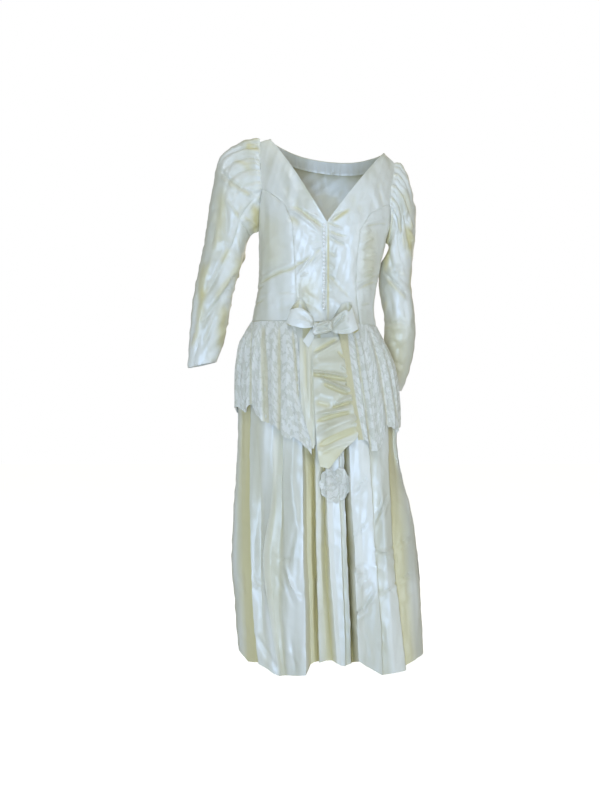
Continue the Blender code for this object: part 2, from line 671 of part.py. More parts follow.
def bow_loop(table):
    """One loop of the bow: out from the knot behind and back to it in front."""
    along = np.linspace(0, np.pi, 15)
    out = np.sin(along) ** BOW_FULLNESS
    names = Loop._fields
    low_x, low_z, high_x, high_z, depth = (
        np.interp(out, BOW_SHARES, [getattr(row, name) for row in table]) for name in names)
    rise = np.linspace(0, 1, 6)
    share = rise[None, :] * (1 - BOW_FRONT_DROP * (1 - np.cos(along[:, None])) / 2)
    x = low_x[:, None] * (1 - share) + high_x[:, None] * share
    z = low_z[:, None] * (1 - share) + high_z[:, None] * share
    belly = 1 - BOW_EDGE_PINCH * (2 * rise[None, :] - 1) ** 2
    y = (np.cos(along) * depth)[:, None] * belly
    return np.stack([x, y, z], axis=-1)


def knot(surface):
    """Soft squared knot in the middle of the bow."""
    shape = bmesh.new()
    bmesh.ops.create_uvsphere(shape, u_segments=14, v_segments=9, radius=1)
    round_points = np.array([vertex.co for vertex in shape.verts])
    soft = np.sign(round_points) * np.abs(round_points) ** KNOT_SQUARENESS * np.array(KNOT_HALF)
    placed = seated(soft + np.array([KNOT_X, 0, KNOT_Z]), surface)
    for vertex, point in zip(shape.verts, placed):
        vertex.co = Vector(point) * MM
    mesh = bpy.data.meshes.new("bow_knot")
    shape.to_mesh(mesh)
    shape.free()
    mesh.shade_smooth()
    return add_object("bow_knot", mesh, SATIN_COLOUR, SATIN_ROUGHNESS)


def buttons(surface):
    for number in range(BUTTONS):
        z = BUTTON_TOP_Z - number * BUTTON_PITCH
        y = surface(BUTTON_X, z) - BUTTON_RADIUS * BUTTON_DOME - LAID_ON_GAP
        shape = bmesh.new()
        bmesh.ops.create_uvsphere(shape, u_segments=6, v_segments=4, radius=BUTTON_RADIUS * MM)
        bmesh.ops.scale(shape, vec=(1, BUTTON_DOME, 1), verts=shape.verts)
        name = f"button_{number + 1:02d}"
        mesh = bpy.data.meshes.new(name)
        shape.to_mesh(mesh)
        shape.free()
        mesh.shade_smooth()
        made = add_object(name, mesh, SATIN_COLOUR, SATIN_ROUGHNESS)
        made.location = (BUTTON_X * MM, y * MM, z * MM)


def build_bodice():
    grids = {}
    for side in ("left", "right"):
        grids["front", side] = centre_front(side)
        grids["side_front", side] = side_panel(side, back=False)
        grids["side_back", side] = side_panel(side, back=True)
    grids["back"] = centre_back()
    fronts = [cloth("centre_front_" + side, grids["front", side]) for side in ("left", "right")]
    for side in ("left", "right"):
        cloth("side_front_" + side, grids["side_front", side])
        cloth("side_back_" + side, grids["side_back", side])
    cloth("centre_back", grids["back"])
    cloth("back_neck_facing", neck_facing(grids["back"]), wall=LACE_WALL)
    for side, table in (("left", LEFT_SLEEVE), ("right", RIGHT_SLEEVE)):
        panels = [grids["front", side], grids["side_front", side], grids["side_back", side],
                  grids["back"]]
        cloth("sleeve_" + side, sleeve(side, table, armhole(side, panels)), closed=True)
    return fronts


def build_skirt():
    front = cloth("skirt_front", skirt(FRONT_FOLDS, back=False))
    cloth("skirt_back", skirt(BACK_FOLDS, back=True))
    quarter = np.pi / 2
    gap = SEAM_GAP / SKIRT_HALF_WIDTH
    panels = (
        ("lace_front_left", lambda z: np.full(np.shape(z), -quarter + gap),
         lambda z: angle_at(read(LACE_FRONT_EDGE, "z", "left", z), z), LACE_LOW_LEFT, 7),
        ("lace_front_right", lambda z: angle_at(read(LACE_FRONT_EDGE, "z", "right", z), z),
         lambda z: np.full(np.shape(z), quarter - gap), LACE_LOW_RIGHT, 6),
        ("lace_back", lambda z: np.full(np.shape(z), quarter + gap),
         lambda z: np.full(np.shape(z), 3 * quarter - gap), LACE_LOW_BACK, 10),
    )
    laces = [cloth(name, lace(start, stop, low, waves), wall=LACE_WALL, lace=True)
             for name, start, stop, low, waves in panels]
    return front, laces


def build_front_trim(fronts, skirt_front, laces):
    laid = [cloth("drape_panel", laid_strip(DRAPE, 24, 7, DRAPE_RUCHE)),
            cloth("sash_end", laid_strip(SASH, 10, 3)),
            cloth("bow_end", laid_strip(BOW_END, 3, 3))]
    cloth("skirt_applique", applique(front_surface(skirt_front)), wall=LACE_WALL, lace=True)
    behind_bow = front_surface(*fronts, skirt_front, *laces, *laid)
    cloth("bow_loop_left", seated(bow_loop(BOW_LEFT), behind_bow)[:, ::-1])
    cloth("bow_loop_right", seated(bow_loop(BOW_RIGHT), behind_bow))
    knot(behind_bow)
    buttons(front_surface(*fronts))


for old in list(bpy.data.objects):
    bpy.data.objects.remove(old)
dress = bpy.data.collections.new("wedding_dress")
bpy.context.scene.collection.children.link(dress)

front_panels = build_bodice()
skirt_front_piece, lace_pieces = build_skirt()
build_front_trim(front_panels, skirt_front_piece, lace_pieces)
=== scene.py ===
"""Looks of a hanging satin wedding dress with a lace overskirt.

Sizes are in millimetres and become metres when a mesh is made. The front faces -Y and +X
is the viewer's right. Every cloth repeats the form of its solid, with its folds and
creases placed one by one.
"""

from collections import namedtuple

import bpy
import numpy as np
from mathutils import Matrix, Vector
from mathutils.bvhtree import BVHTree


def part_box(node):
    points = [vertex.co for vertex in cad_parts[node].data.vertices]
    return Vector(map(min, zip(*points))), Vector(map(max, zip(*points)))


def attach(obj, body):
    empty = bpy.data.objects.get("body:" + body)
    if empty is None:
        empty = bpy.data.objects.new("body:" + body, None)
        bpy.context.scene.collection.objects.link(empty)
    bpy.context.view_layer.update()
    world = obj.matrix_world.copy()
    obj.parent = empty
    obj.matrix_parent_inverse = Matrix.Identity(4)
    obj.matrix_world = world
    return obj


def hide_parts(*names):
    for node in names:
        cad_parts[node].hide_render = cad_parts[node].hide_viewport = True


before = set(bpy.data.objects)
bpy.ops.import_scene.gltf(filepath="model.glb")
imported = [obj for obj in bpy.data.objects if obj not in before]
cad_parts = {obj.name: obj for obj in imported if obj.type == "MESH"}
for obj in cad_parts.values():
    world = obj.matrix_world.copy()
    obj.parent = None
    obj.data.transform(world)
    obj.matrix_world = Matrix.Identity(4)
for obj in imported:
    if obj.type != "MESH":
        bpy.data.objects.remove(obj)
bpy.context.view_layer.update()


def listed(kind, *rows):
    """Rows of plain numbers as a table whose columns have names."""
    return [kind(*row) for row in rows]


MM = 0.001
SIGN = {"left": -1, "right": 1}

# Cloth
SATIN_WALL = 1.1
LACE_WALL = 0.9
LEAST_AREA_SHARE = 0.31
SEAM_GAP = 0.3
SIDE_SEAM_HALF = 0.2

# Main levels, measured down from the shoulders
SHOULDER_TIP_Z = -26.0
PRINCESS_TOP_Z = -150.0
V_POINT_Z = -229.0
ARMPIT_Z = -245.0
WAIST_Z = -489.0
HEM_Z = -1400.0

# Neck and shoulders
NECK_HALF_WIDTH = 155.0
SHOULDER_HALF_WIDTH = 187.0
OPENING_X = -4.0
BACK_NECK_DROP = 24.0
SHOULDER_ROUND = 140.0
SHOULDER_POWER = 1.5
LEFT_TIP_LIFT = 12.0
LEFT_TIP_X = -150.0
LEFT_TIP_RUN = 34.0
LEFT_TIP_Z = -110.0
LEFT_TIP_HEIGHT = 90.0
SHOULDER_SEAM_HALF = 1.2
FACING_IN = 2.4
FACING_HEIGHTS = (0.12, 0.97)

# Bust
BUST_X = 82.0
BUST_Z = -245.0
BUST_RISE = 13.0
BUST_WIDTH = 52.0
BUST_HEIGHT = 70.0
BUST_HALF_DEPTH = 120.0
SKIRT_HALF_WIDTH = 240.0
ROUNDNESS = 2.3

# The rings of the dress form: its two sides, and how far it comes forward and goes back.
Ring = namedtuple("Ring", "z left right front back")
BODY = listed(Ring,
    (60, -194, 194, 104, 90), (-100, -192, 190, 106, 92), (-170, -188, 181, 110, 94),
    (-250, -187, 161, 106, 94), (-300, -187, 150, 101, 90), (-350, -187, 141, 95, 85),
    (-400, -190, 132, 90, 81), (-440, -197, 129, 88, 80), (-489, -208, 135, 90, 83),
    (-530, -224, 149, 98, 93), (-600, -240, 175, 109, 107), (-700, -244, 189, 121, 119),
    (-830, -246, 193, 134, 129), (-916, -251, 208, 142, 135), (-1000, -257, 231, 149, 139),
    (-1130, -261, 249, 157, 144), (-1250, -254, 258, 163, 148), (-1400, -245, 263, 170, 152))

# The dress hangs lower on one shoulder: height lost for each millimetre towards +X.
Lean = namedtuple("Lean", "z slope")
TILT = listed(Lean, (60, 0.115), (-230, 0.11), (-330, 0.06), (-489, 0.034), (-700, 0.0))

# Height of the shoulder line by distance from the middle, as a share of half the width.
Shoulder = namedtuple("Shoulder", "share z")
SHOULDER_LINE = listed(Shoulder, (0.0, 28), (0.5, 18), (0.80, 0), (0.97, -26), (1.0, -31))

# Princess seams, and above them the armhole edges, on the front and on the back.
Seam = namedtuple("Seam", "z left right")
FRONT_SEAMS = listed(Seam,
    (-489, -84, 86), (-405, -86, 76), (-330, -90, 77), (-240, -97, 86), (-190, -118, 114),
    (-150, -177, 165), (-100, -180, 171), (-60, -184, 180), (-26, -187, 187))
BACK_SEAMS = listed(Seam,
    (-489, -108, 38), (-405, -108, 40), (-330, -112, 52), (-240, -124, 84), (-190, -138, 122),
    (-150, -160, 160), (-100, -170, 170), (-60, -180, 180), (-26, -187, 187))

# Cutting lines of the bodice: heights on the princess seam and on the opening or V edge.
Row = namedtuple("Row", "seam_z centre_z")
PANEL_ROWS = listed(Row,
    (-489, -489), (-445, -445), (-405, -405), (-365, -365), (-325, -325), (-285, -287), (-250, -257),
    (-220, -229), (-195, -197), (-170, -165), (-150, -130), (-100, -85), (-60, -42), (-26, 0))
PRINCESS_ROWS = 11
ROW_STEPS = 15

# Sleeves, from the shoulder to the cuff: the outer and the inner side seen from the
# front, half the depth, where the middle lies front to back, and how much of the
# armhole's own shape is left.
Cuff = namedtuple("Cuff", "outer_x outer_z inner_x inner_z depth y set_in")
LEFT_SLEEVE = listed(Cuff,
    (-203, 20, -193, -226, 66, 0, 0.9), (-230, 14, -199, -231, 68, 0, 0.6),
    (-266, -4, -206, -239, 69, 0, 0.3), (-295, -34, -213, -249, 67, 0, 0.1),
    (-310, -95, -222, -266, 63, 0, 0), (-325, -185, -232, -298, 59, 0, 0),
    (-337, -270, -239, -330, 54, -2, 0), (-355, -358, -252, -378, 50, -4, 0),
    (-368, -435, -265, -434, 47, -6, 0), (-375, -520, -279, -516, 42, -9, 0),
    (-381, -608, -302, -592, 36, -12, 0))
RIGHT_SLEEVE = listed(Cuff,
    (201, -46, 168, -264, 64, 2, 0.9), (219, -74, 171, -270, 66, 5, 0.6),
    (232, -110, 171, -277, 66, 9, 0.3), (240, -146, 168, -286, 64, 14, 0.1),
    (246, -176, 162, -297, 61, 20, 0), (245, -243, 152, -315, 57, 27, 0),
    (239, -310, 147, -344, 52, 36, 0), (236, -382, 150, -396, 49, 46, 0),
    (248, -458, 164, -464, 46, 56, 0), (250, -530, 164, -530, 42, 68, 0),
    (238, -606, 160, -600, 38, 90, 0), (219, -670, 147, -650, 34, 112, 0))
ARMHOLE_CLEAR = 0.9
CROWN_TURN = 0.42
CROWN_IN = 4.0
CROWN_RISE = {"left": 13.0, "right": 3.0}
SLEEVE_COLUMNS = 168
SLEEVE_ROW_STEPS = 11

# Gathers round a sleeve head: the angle of each, how wide it is, how far it stands out
# and how far down the sleeve it runs, counted in rows of the sleeve's table.
Gather = namedtuple("Gather", "turn width rise reach")
LEFT_GATHERS = listed(Gather,
    (-118, 7, 5.0, 4.2), (-101, 6, 7.0, 5.0), (-86, 5, 6.0, 4.2), (-70, 7, 8.0, 5.6), (-54, 5, 6.5, 4.4),
    (-42, 5, 8.0, 5.2), (-28, 6, 8.5, 5.0), (-17, 4.0, 6.0, 3.8), (-5, 4.5, 8.5, 4.6), (8, 3.6, 5.5, 2.6),
    (17, 4.5, 10.5, 4.8), (30, 3.2, 6.0, 3.2), (38, 5, 11.5, 5.4), (49, 3.2, 5.5, 3.0),
    (60, 4.5, 11.0, 5.8), (70, 3.0, 5.0, 2.6), (81, 5, 10.5, 5.4), (93, 3.4, 5.5, 3.0),
    (104, 5, 8.0, 4.6), (122, 6, 6.0, 4.0))
RIGHT_GATHERS = listed(Gather,
    (-112, 8, 5.0, 4.2), (-88, 6, 7.0, 5.0), (-66, 7, 6.0, 4.2), (-40, 6, 8.0, 5.6), (-22, 4, 5.0, 3.0),
    (-6, 6, 7.5, 4.6), (9, 3.6, 4.5, 2.4), (24, 6, 9.0, 4.4), (41, 4, 5.0, 2.8), (53, 6.5, 10.0, 6.2),
    (70, 4, 6.0, 3.2), (81, 5, 9.0, 6.8), (96, 4, 5.5, 3.0), (108, 6, 7.5, 5.2))

# Fold lines of the skirt's front from left to right: where each lies at five heights,
# how far it is set in from the form there, how much the hem is lifted, and how strong
# the golden shade painted in it is. Above them the folds run up to the waist, shallower at each level.
FOLD_LEVELS = (-799.0, -953.0, -1107.0, -1261.0, -1400.0)
UPPER_LEVELS = (WAIST_Z, -600.0, -700.0)
UPPER_DEPTHS = (0.05, 0.2, 0.55)
Fold = namedtuple("Fold", "x_high x_upper x_mid x_low x_hem in_high in_upper in_mid in_low in_hem lift gold")
SKIRT_FOLDS = listed(Fold,
    (-249, -248, -247, -239, -235, 0, 0, 0, 0, 0, 29, 0),
    (-236, -236, -232, -223, -216, 8, 10, 9, 7, 5, 13, 0.85),
    (-214, -212, -207, -201, -189, 11, 14, 14, 11, 8, 18, 0.95),
    (-208, -205, -200, -193, -181, 1, -2, -4, -4, -2, 18, 0),
    (-185, -179, -182, -173, -157, 1, 9, 11, 4, -3, 9, 0.25),
    (-166, -163, -173, -157, -141, -2, 1, 4, -5, -5, 1, 0),
    (-146, -147, -166, -148, -127, 1, -4, -9, -7, 0, -5, 0),
    (-138, -139, -156, -142, -122, 7, 9, 10, 9, 9, -6, 0.3),
    (-125, -125, -129, -130, -115, 17, 16, 12, 11, 9, -5, 0.35),
    (-118, -117, -115, -118, -108, 1, 0, 4, 6, 4, -3, 0.05),
    (-92, -92, -90, -88, -82, -3, -7, -3, -1, -3, 0, 0),
    (-68, -67, -64, -60, -57, 0, -2, -5, -7, -6, 3, 0),
    (-63, -62, -59, -55, -52, 16, 27, 36, 41, 43, 17, 0.7),
    (-51, -50, -48, -45, -43, 22, 33, 39, 44, 46, 22, 0.9),
    (-40, -39, -38, -35, -32, 33, 46, 56, 59, 57, 21, 1),
    (-35, -34, -33, -30, -27, 20, 25, 30, 34, 38, 23, 0.1),
    (-23, -22, -20, -15, -9, 20, 28, 34, 39, 43, 27, 0.4),
    (-12, -9, -7, -0, 9, 28, 41, 49, 52, 51, 25, 0.9), (-7, -4, 2, 14, 23, 16, 19, 22, 28, 33, 22, 0.05),
    (11, 13, 17, 27, 35, 17, 24, 29, 34, 38, 15, 0), (28, 30, 36, 43, 47, 17, 20, 24, 30, 34, 14, 0),
    (34, 36, 42, 48, 52, 23, 28, 34, 39, 44, 14, 0.3), (45, 46, 53, 60, 65, 19, 24, 29, 36, 43, 18, 0.1),
    (51, 54, 64, 71, 75, 33, 51, 66, 69, 64, 15, 1), (55, 59, 67, 70, 74, 6, 2, -2, -3, -2, 38, 0),
    (77, 81, 88, 92, 97, -3, -1, 3, 2, 3, 22, 0), (105, 110, 118, 129, 135, 0, -5, -7, -6, -4, -1, 0),
    (111, 116, 124, 135, 140, 8, 11, 10, 9, 8, -4, 0.25),
    (133, 137, 146, 158, 167, 1, -4, -7, -6, -4, -0, 0),
    (160, 161, 169, 186, 199, 0, 1, 2, 0, -1, 1, 0.1),
    (170, 171, 178, 194, 206, 9, 12, 12, 10, 8, 11, 0.85),
    (194, 193, 198, 212, 220, 11, 10, 5, 3, 2, 17, 0.7), (208, 216, 218, 231, 240, 3, 2, 4, 3, 2, 21, 0))

# Folds of the skirt's back: where each lies at the hip, half way and at the hem, half
# its width, and its depth at the waist, half way and at the hem.
BackFold = namedtuple("BackFold", "x_hip x_mid x_hem half d_top d_mid d_hem")
BACK_FOLDS = listed(BackFold,
    (-214, -224, -214, 9, 3, 16, 20), (-170, -176, -170, 8, 3, 18, 26), (-126, -130, -122, 9, 4, 20, 24),
    (-82, -84, -76, 8, 3, 14, 28), (-40, -38, -30, 10, 4, 22, 30), (6, 10, 20, 8, 3, 16, 22),
    (48, 56, 68, 9, 4, 20, 28), (90, 102, 118, 8, 3, 15, 24), (130, 148, 168, 9, 3, 18, 26),
    (164, 192, 214, 8, 2, 14, 18))
FOLD_PROFILE = [(-1.0, 0.0), (-0.3, 1.0), (0.25, 1.0), (1.0, 0.0)]
BACK_LEVELS = (WAIST_Z, -700.0, -950.0, HEM_Z)
BACK_WAIST_SHIFT = -4
BACK_HEM_SPREAD = 1.2
HIP_MIDDLE = -32.5
HIP_DRAW = 0.948
HIGH_MIDDLE = -27.0
WAIST_MIDDLE = -36.5
WAIST_DRAW = 0.783
SKIRT_TOP_Z = -489.6
SKIRT_ROWS = 138
SKIRT_STEP = 3.0
LIFT_FROM = -1150.0
FOLD_ROUNDING = 0.3
BACK_LIFT_X = (-225.0, -150.0, 150.0, 224.0)
BACK_LIFT = (29.0, 0.0, 0.0, 21.0)
# Painted golden shade in the hollows of the back's folds
BACK_GOLD_SHADE = 0.45
CREASE_FADE = 12.0
SKIRT_CREASE_DEPTH = 1.35
SKIRT_EDGE = 2
SKIRT_APART = 0.01
SKIRT_CALM = (20, 150)
SWAY_RISE = 1.7
SWAY_SIZE = 46
SWAY_STRETCH = 4.5
SKIRT_CRUMPLE_RISE = 1.1
SKIRT_CRUMPLE_SIZE = 60
SKIRT_STRETCH = 1.6
LIFT_POWER = 1.5

# Soft ridges and troughs seen from the front: the two ends of each, how far it bows
# sideways, half its width, and how far it stands out (or in, when negative).
Crease = namedtuple("Crease", "x0 z0 x1 z1 bow width rise")
CREASE_TAPER = 0.12
CREASE_DEPTH = 1.45
# Painted shade in the troughs of creases, full at this depth in millimetres
TROUGH = 5.0
TROUGH_SHADE_STRENGTH = 0.55
CRUMPLE_SIZE = 44.0
CRUMPLE_RISE = 0.9
CRUMPLE_PINCH = 0.9
BODICE_STRETCH = 1.5
SLEEVE_STRETCH = 1.8
UNREST_WAVES = 6
UNREST_RISE = 0.7
UNREST_SIZE = 38.0
UNREST_SIZES = (0.6, 1.6)
UNREST_SHARE = 0.7
LIVELY = 1.5
PINCH_RISE = 2.2
PINCH_LEVEL = 0.64
SEEDS = {"front": 3, "side": 5, "side_back": 11, "back": 17, "sleeve": 23, "skirt_front": 29,
         "skirt_back": 31, "skirt": 37, "strip": 41, "bow_end": 43, "crumple": 50,
         "sleeve_crumple": 71, "pearls": 7}
BODICE_CREASES = listed(Crease,
    (-158, -141, -124, -175, 0, 2.6, -1.6), (-148, -146, -108, -188, 0, 2.6, 1.3),
    (-106, -191, -17, -261, 3, 5, 4.2), (-95, -186, -11, -246, 3, 5, -3),
    (-111, -209, -38, -272, 3, 9, -2), (-53, -208, -27, -214, 0, 3.2, 2.4),
    (-59, -217, -27, -230, 0, 3.5, -2), (-182, -379, -100, -349, 2, 3, -2.8),
    (-182, -369, -95, -337, 2, 5, 2.6), (-113, -356, -40, -314, -3, 4.5, -3),
    (-79, -361, -35, -311, 1, 3.4, 3.4), (-85, -345, -51, -327, 0, 3, 2.4),
    (-74, -369, -53, -361, 0, 2.6, 2.2), (-85, -335, -64, -335, 0, 2.6, -2),
    (-53, -335, -19, -295, 0, 4, -2.6), (-40, -335, -17, -309, 0, 3.5, 2.2),
    (-48, -285, -17, -277, 0, 4, -1.8), (-43, -298, -17, -293, 0, 3.6, 1.8),
    (-48, -256, -17, -267, 0, 4, 1.4), (0, -229, 30, -241, -2, 2.8, -2.8),
    (2, -238, 38, -251, -1, 3.5, 2.4), (4, -252, 46, -267, -2, 3.2, -2.8),
    (2, -259, 43, -280, -2, 3, 2.4), (2, -267, 46, -290, -2, 3.2, -2.2), (4, -230, 43, -207, 3, 3.8, 2.8),
    (7, -217, 38, -199, 2, 3.5, -1.6), (-1, -303, 20, -319, 0, 3.2, -1.6),
    (-1, -335, 17, -348, 0, 3.2, 1.6), (-1, -364, 17, -379, 0, 3, -2), (-1, -379, 12, -403, 0, 3, 1.8),
    (9, -371, 62, -426, -2, 6, -1.8), (91, -243, 161, -221, 2, 2.8, -2.4),
    (98, -233, 156, -212, 2, 4.5, 1.8), (88, -288, 119, -267, 2, 3.2, 3),
    (91, -301, 125, -285, 1, 3, -2.8), (98, -254, 114, -246, 0, 2.6, 2.2),
    (104, -314, 132, -303, 0, 3, 2.6), (93, -324, 125, -319, 0, 3.2, -2.2),
    (93, -356, 122, -343, 1, 3.2, 2.6), (98, -369, 127, -356, 1, 2.8, -2.4),
    (72, -395, 135, -356, 2, 3.4, 2.8), (77, -405, 135, -374, 2, 4, -2.4), (62, -267, 72, -434, -4, 9, 2),
    (-137, -413, -85, -411, 1, 3.4, -1.2), (-195, -398, -174, -387, 0, 3, -1.8),
    (-200, -437, -174, -426, 0, 3.2, -1.8), (-189, -416, -148, -408, 0, 4.5, 1.2),
    (-153, -277, -106, -298, 1, 10, -1.4), (-74, -238, -27, -285, 0, 12, 2.2),
    (-174, -199, -137, -256, 3, 10, -1.2), (30, -290, 62, -356, -3, 12, 1.4),
    (-72, -408, -27, -434, 1, 7, 1.6), (-64, -434, -17, -466, 1, 7, -1.4),
    (98, -408, 119, -398, 0, 3.2, 1.6), (91, -442, 117, -434, 0, 3.4, -1.5),
    (4, -424, 41, -450, 0, 6, 1.6), (-79, -387, -77, -434, 0, 4, -1.2), (-137, -42, -79, -146, 3, 14, 1),
    (114, -120, 135, -186, -1, 8, 1.4), (132, -110, 148, -183, -1, 6, -1.2),
    (62, -146, 88, -212, 0, 12, -1))
LEFT_SLEEVE_CREASES = listed(Crease,
    (-289, -54, -190, -116, -11, 4, 5), (-292, -68, -192, -129, -11, 5, -4),
    (-190, -127, -238, -194, -4, 3.4, 4.2), (-208, -132, -249, -186, -3, 6, -3.2),
    (-238, -194, -259, -266, 3, 4, 3.4), (-278, -132, -235, -194, 3, 3, -2.2),
    (-235, -191, -208, -226, 1, 3, 3.2), (-227, -183, -192, -196, 1, 4, -3.6),
    (-225, -218, -192, -191, 0, 5, -3), (-217, -237, -190, -218, 0, 3.2, 2.2),
    (-294, -143, -327, -325, 3, 7, 4.5), (-257, -256, -329, -390, 4, 8, 6.5),
    (-225, -277, -310, -417, 3, 8, -6.0), (-246, -325, -345, -476, 4, 7, 6.5),
    (-227, -325, -265, -344, 0, 3.4, 3.2), (-230, -347, -273, -363, 0, 3.4, -3.4),
    (-233, -366, -278, -376, 0, 3.4, 3.2), (-238, -384, -278, -395, 0, 3.4, -3),
    (-246, -406, -284, -422, 0, 3.6, 3), (-251, -425, -289, -443, 0, 3.8, -2.8),
    (-257, -449, -300, -481, 1, 4, 2.8), (-259, -470, -305, -508, 1, 4.5, -2.6),
    (-268, -497, -321, -548, 1, 5, 2.6), (-273, -529, -327, -578, 1, 5, -2.4),
    (-278, -559, -337, -599, 1, 4.5, 2), (-310, -245, -343, -387, 3, 9, -4.5),
    (-335, -406, -364, -535, 3, 8, -4.5), (-305, -172, -300, -266, 3, 8, -3.5),
    (-276, -148, -273, -234, 4, 7, 4.0), (-284, -245, -254, -250, 0, 4, -2),
    (-262, -25, -284, -94, 4, 6, 2.6), (-348, -508, -370, -604, 1, 6, 4.0),
    (-300, -443, -332, -524, 2, 6, 4.5), (-246, -229, -241, -266, 1, 3.5, -2),
    (-235, -282, -233, -315, 0, 3.6, -1.8))
RIGHT_SLEEVE_CREASES = listed(Crease,
    (180, -110, 224, -266, 7, 3.4, 4.2), (189, -104, 232, -236, 7, 4, -3.2),
    (172, -148, 211, -274, 4, 4, -3), (169, -165, 200, -285, 3, 3.8, 3.2),
    (219, -206, 243, -228, 1, 3, 4), (216, -219, 241, -241, 1, 3.4, -4),
    (213, -192, 238, -203, 0, 3, -2.6), (208, -236, 232, -288, 2, 7, -2.6),
    (158, -323, 227, -384, -3, 3, 4), (161, -334, 221, -397, -3, 3.6, -3),
    (178, -318, 230, -359, -2, 3.4, 2.8), (167, -307, 227, -318, 1, 3.2, 2.4),
    (167, -318, 221, -332, 1, 3.6, -2.4), (161, -455, 221, -460, -2, 3.2, 3),
    (161, -468, 227, -474, -2, 4.4, -3.2), (172, -373, 183, -444, 1, 6, 2),
    (211, -395, 221, -455, 1, 7, 2.2), (167, -493, 232, -510, -2, 7, -1.8),
    (167, -534, 189, -540, 0, 3, 2.4), (167, -551, 224, -581, -1, 3.2, 3.6),
    (167, -564, 221, -597, -1, 4, -3), (167, -521, 194, -521, 0, 3, -2.2),
    (164, -575, 189, -592, 0, 3.2, 2.4), (172, -603, 205, -625, 0, 4, -2.2),
    (189, -521, 227, -542, 0, 6, 2), (178, -630, 205, -641, 0, 4, 2.2), (200, -82, 232, -148, 5, 5, 2.4),
    (167, -395, 164, -438, 0, 4, -2.2), (158, -236, 178, -318, 1, 6, 2.6))
SKIRT_CREASES = listed(Crease,
    (62, -1054, 103, -1009, 1, 2.6, -3), (67, -1045, 100, -1004, 1, 4, 1.6),
    (69, -930, 103, -897, 2, 2.6, -2.8), (67, -945, 110, -906, 2, 4, 1.8),
    (113, -1024, 157, -945, 2, 2.8, -3), (121, -1029, 159, -957, 2, 4, 2.2),
    (157, -1086, 226, -1059, 2, 2.4, -3.2), (159, -1096, 226, -1070, 2, 4, 2.4),
    (169, -1178, 228, -1150, 2, 2.4, -3.2), (172, -1188, 228, -1161, 2, 4, 2.4),
    (116, -1079, 159, -1091, -1, 3, 3), (118, -1091, 157, -1101, -1, 3.2, -2.4),
    (62, -1134, 95, -1121, 1, 3, -2.6), (64, -1145, 100, -1134, 1, 3.4, 2.8),
    (72, -1165, 100, -1142, 1, 3, -3), (77, -1178, 105, -1155, 1, 3.2, 2.8),
    (87, -1193, 116, -1170, 1, 3.2, -2.8), (131, -1196, 169, -1173, 2, 3, 2.8),
    (136, -1209, 172, -1183, 2, 3.2, -2.6), (90, -1224, 118, -1188, 1, 3, -3),
    (95, -1232, 123, -1198, 1, 3.6, 2.8), (67, -1245, 95, -1227, 1, 2.8, -2.8),
    (72, -1257, 110, -1232, 1, 4, 2), (59, -1047, 90, -1032, 0, 3.4, 1.6),
    (154, -1096, 187, -1132, -2, 4, 1.8), (175, -1093, 176, -1150, 2, 3.4, 2.2),
    (110, -1121, 151, -1142, 1, 6, 1.6), (-136, -1098, -100, -1095, -1, 4, 2.4),
    (-133, -1109, -95, -1106, -1, 4, -2.2), (-113, -1114, -74, -1209, -5, 4, 3.2),
    (-120, -1127, -90, -1219, -5, 5, -3), (-110, -1183, -59, -1198, 2, 6, -1.8),
    (-197, -1170, -161, -1193, -3, 3.2, 3.4), (-195, -1157, -167, -1178, -3, 4, -2.6),
    (-136, -1152, -115, -1193, 0, 4, -2), (-185, -1311, -128, -1388, -4, 6, -3),
    (-100, -1311, -85, -1393, 0, 5, -2), (-120, -1239, -105, -1337, 1, 6, 1.8),
    (-228, -1106, -213, -1209, 2, 7, 2.8), (-238, -1163, -226, -1209, 1, 5, -2.4),
    (3, -1132, 39, -1101, 1, 4, 2.2), (3, -1150, 33, -1121, 1, 3.6, -2.2),
    (8, -1198, 44, -1170, 1, 5, -1.4), (141, -1260, 162, -1363, 2, 8, 1.6),
    (95, -1286, 110, -1373, 2, 7, 1.6), (203, -1209, 213, -1337, 2, 8, -1.6),
    (-100, -875, -82, -1055, 3, 9, 1.8), (-85, -1004, -105, -1106, 3, 7, -1.6),
    (131, -901, 146, -1055, 2, 8, 1.4), (-115, -1337, -74, -1368, 1, 5, 1.6),
    (177, -1234, 228, -1209, 1, 7, 1.2))
DRAPE_CREASES = listed(Crease,
    (-40, -581, 32, -540, 1, 8, 2.6), (-38, -571, 24, -535, 0, 5, -3.5), (-43, -602, 43, -597, 0, 14, 3),
    (-46, -620, 45, -633, 1, 4, 3.5), (-43, -628, 50, -644, 1, 4.5, -5),
    (-22, -636, 53, -670, -1, 4.2, 4.6), (-12, -654, 53, -680, -1, 4.5, -4),
    (-33, -675, 24, -691, 0, 12, 1.6), (19, -706, 61, -685, 1, 5, 4.6), (9, -717, 61, -701, 1, 4.5, -3.4),
    (-33, -735, 58, -717, 2, 5, 4), (-28, -750, 63, -727, 2, 4.5, -5), (-28, -784, 71, -740, 3, 10, 6),
    (-25, -815, 74, -771, 3, 8, -4), (-17, -831, 61, -800, 3, 6, 1.8), (-33, -701, 4, -711, 0, 8, -1.4),
    (-28, -768, -2, -758, 0, 3.5, 1.4), (30, -607, 45, -620, 0, 4, 1.8), (24, -566, 40, -587, 0, 4, -1.8),
    (43, -654, 56, -659, 0, 3, -2), (45, -693, 61, -696, 0, 3, 1.8), (48, -730, 66, -724, 0, 3, 1.8),
    (56, -758, 74, -748, 0, 3.5, -2))
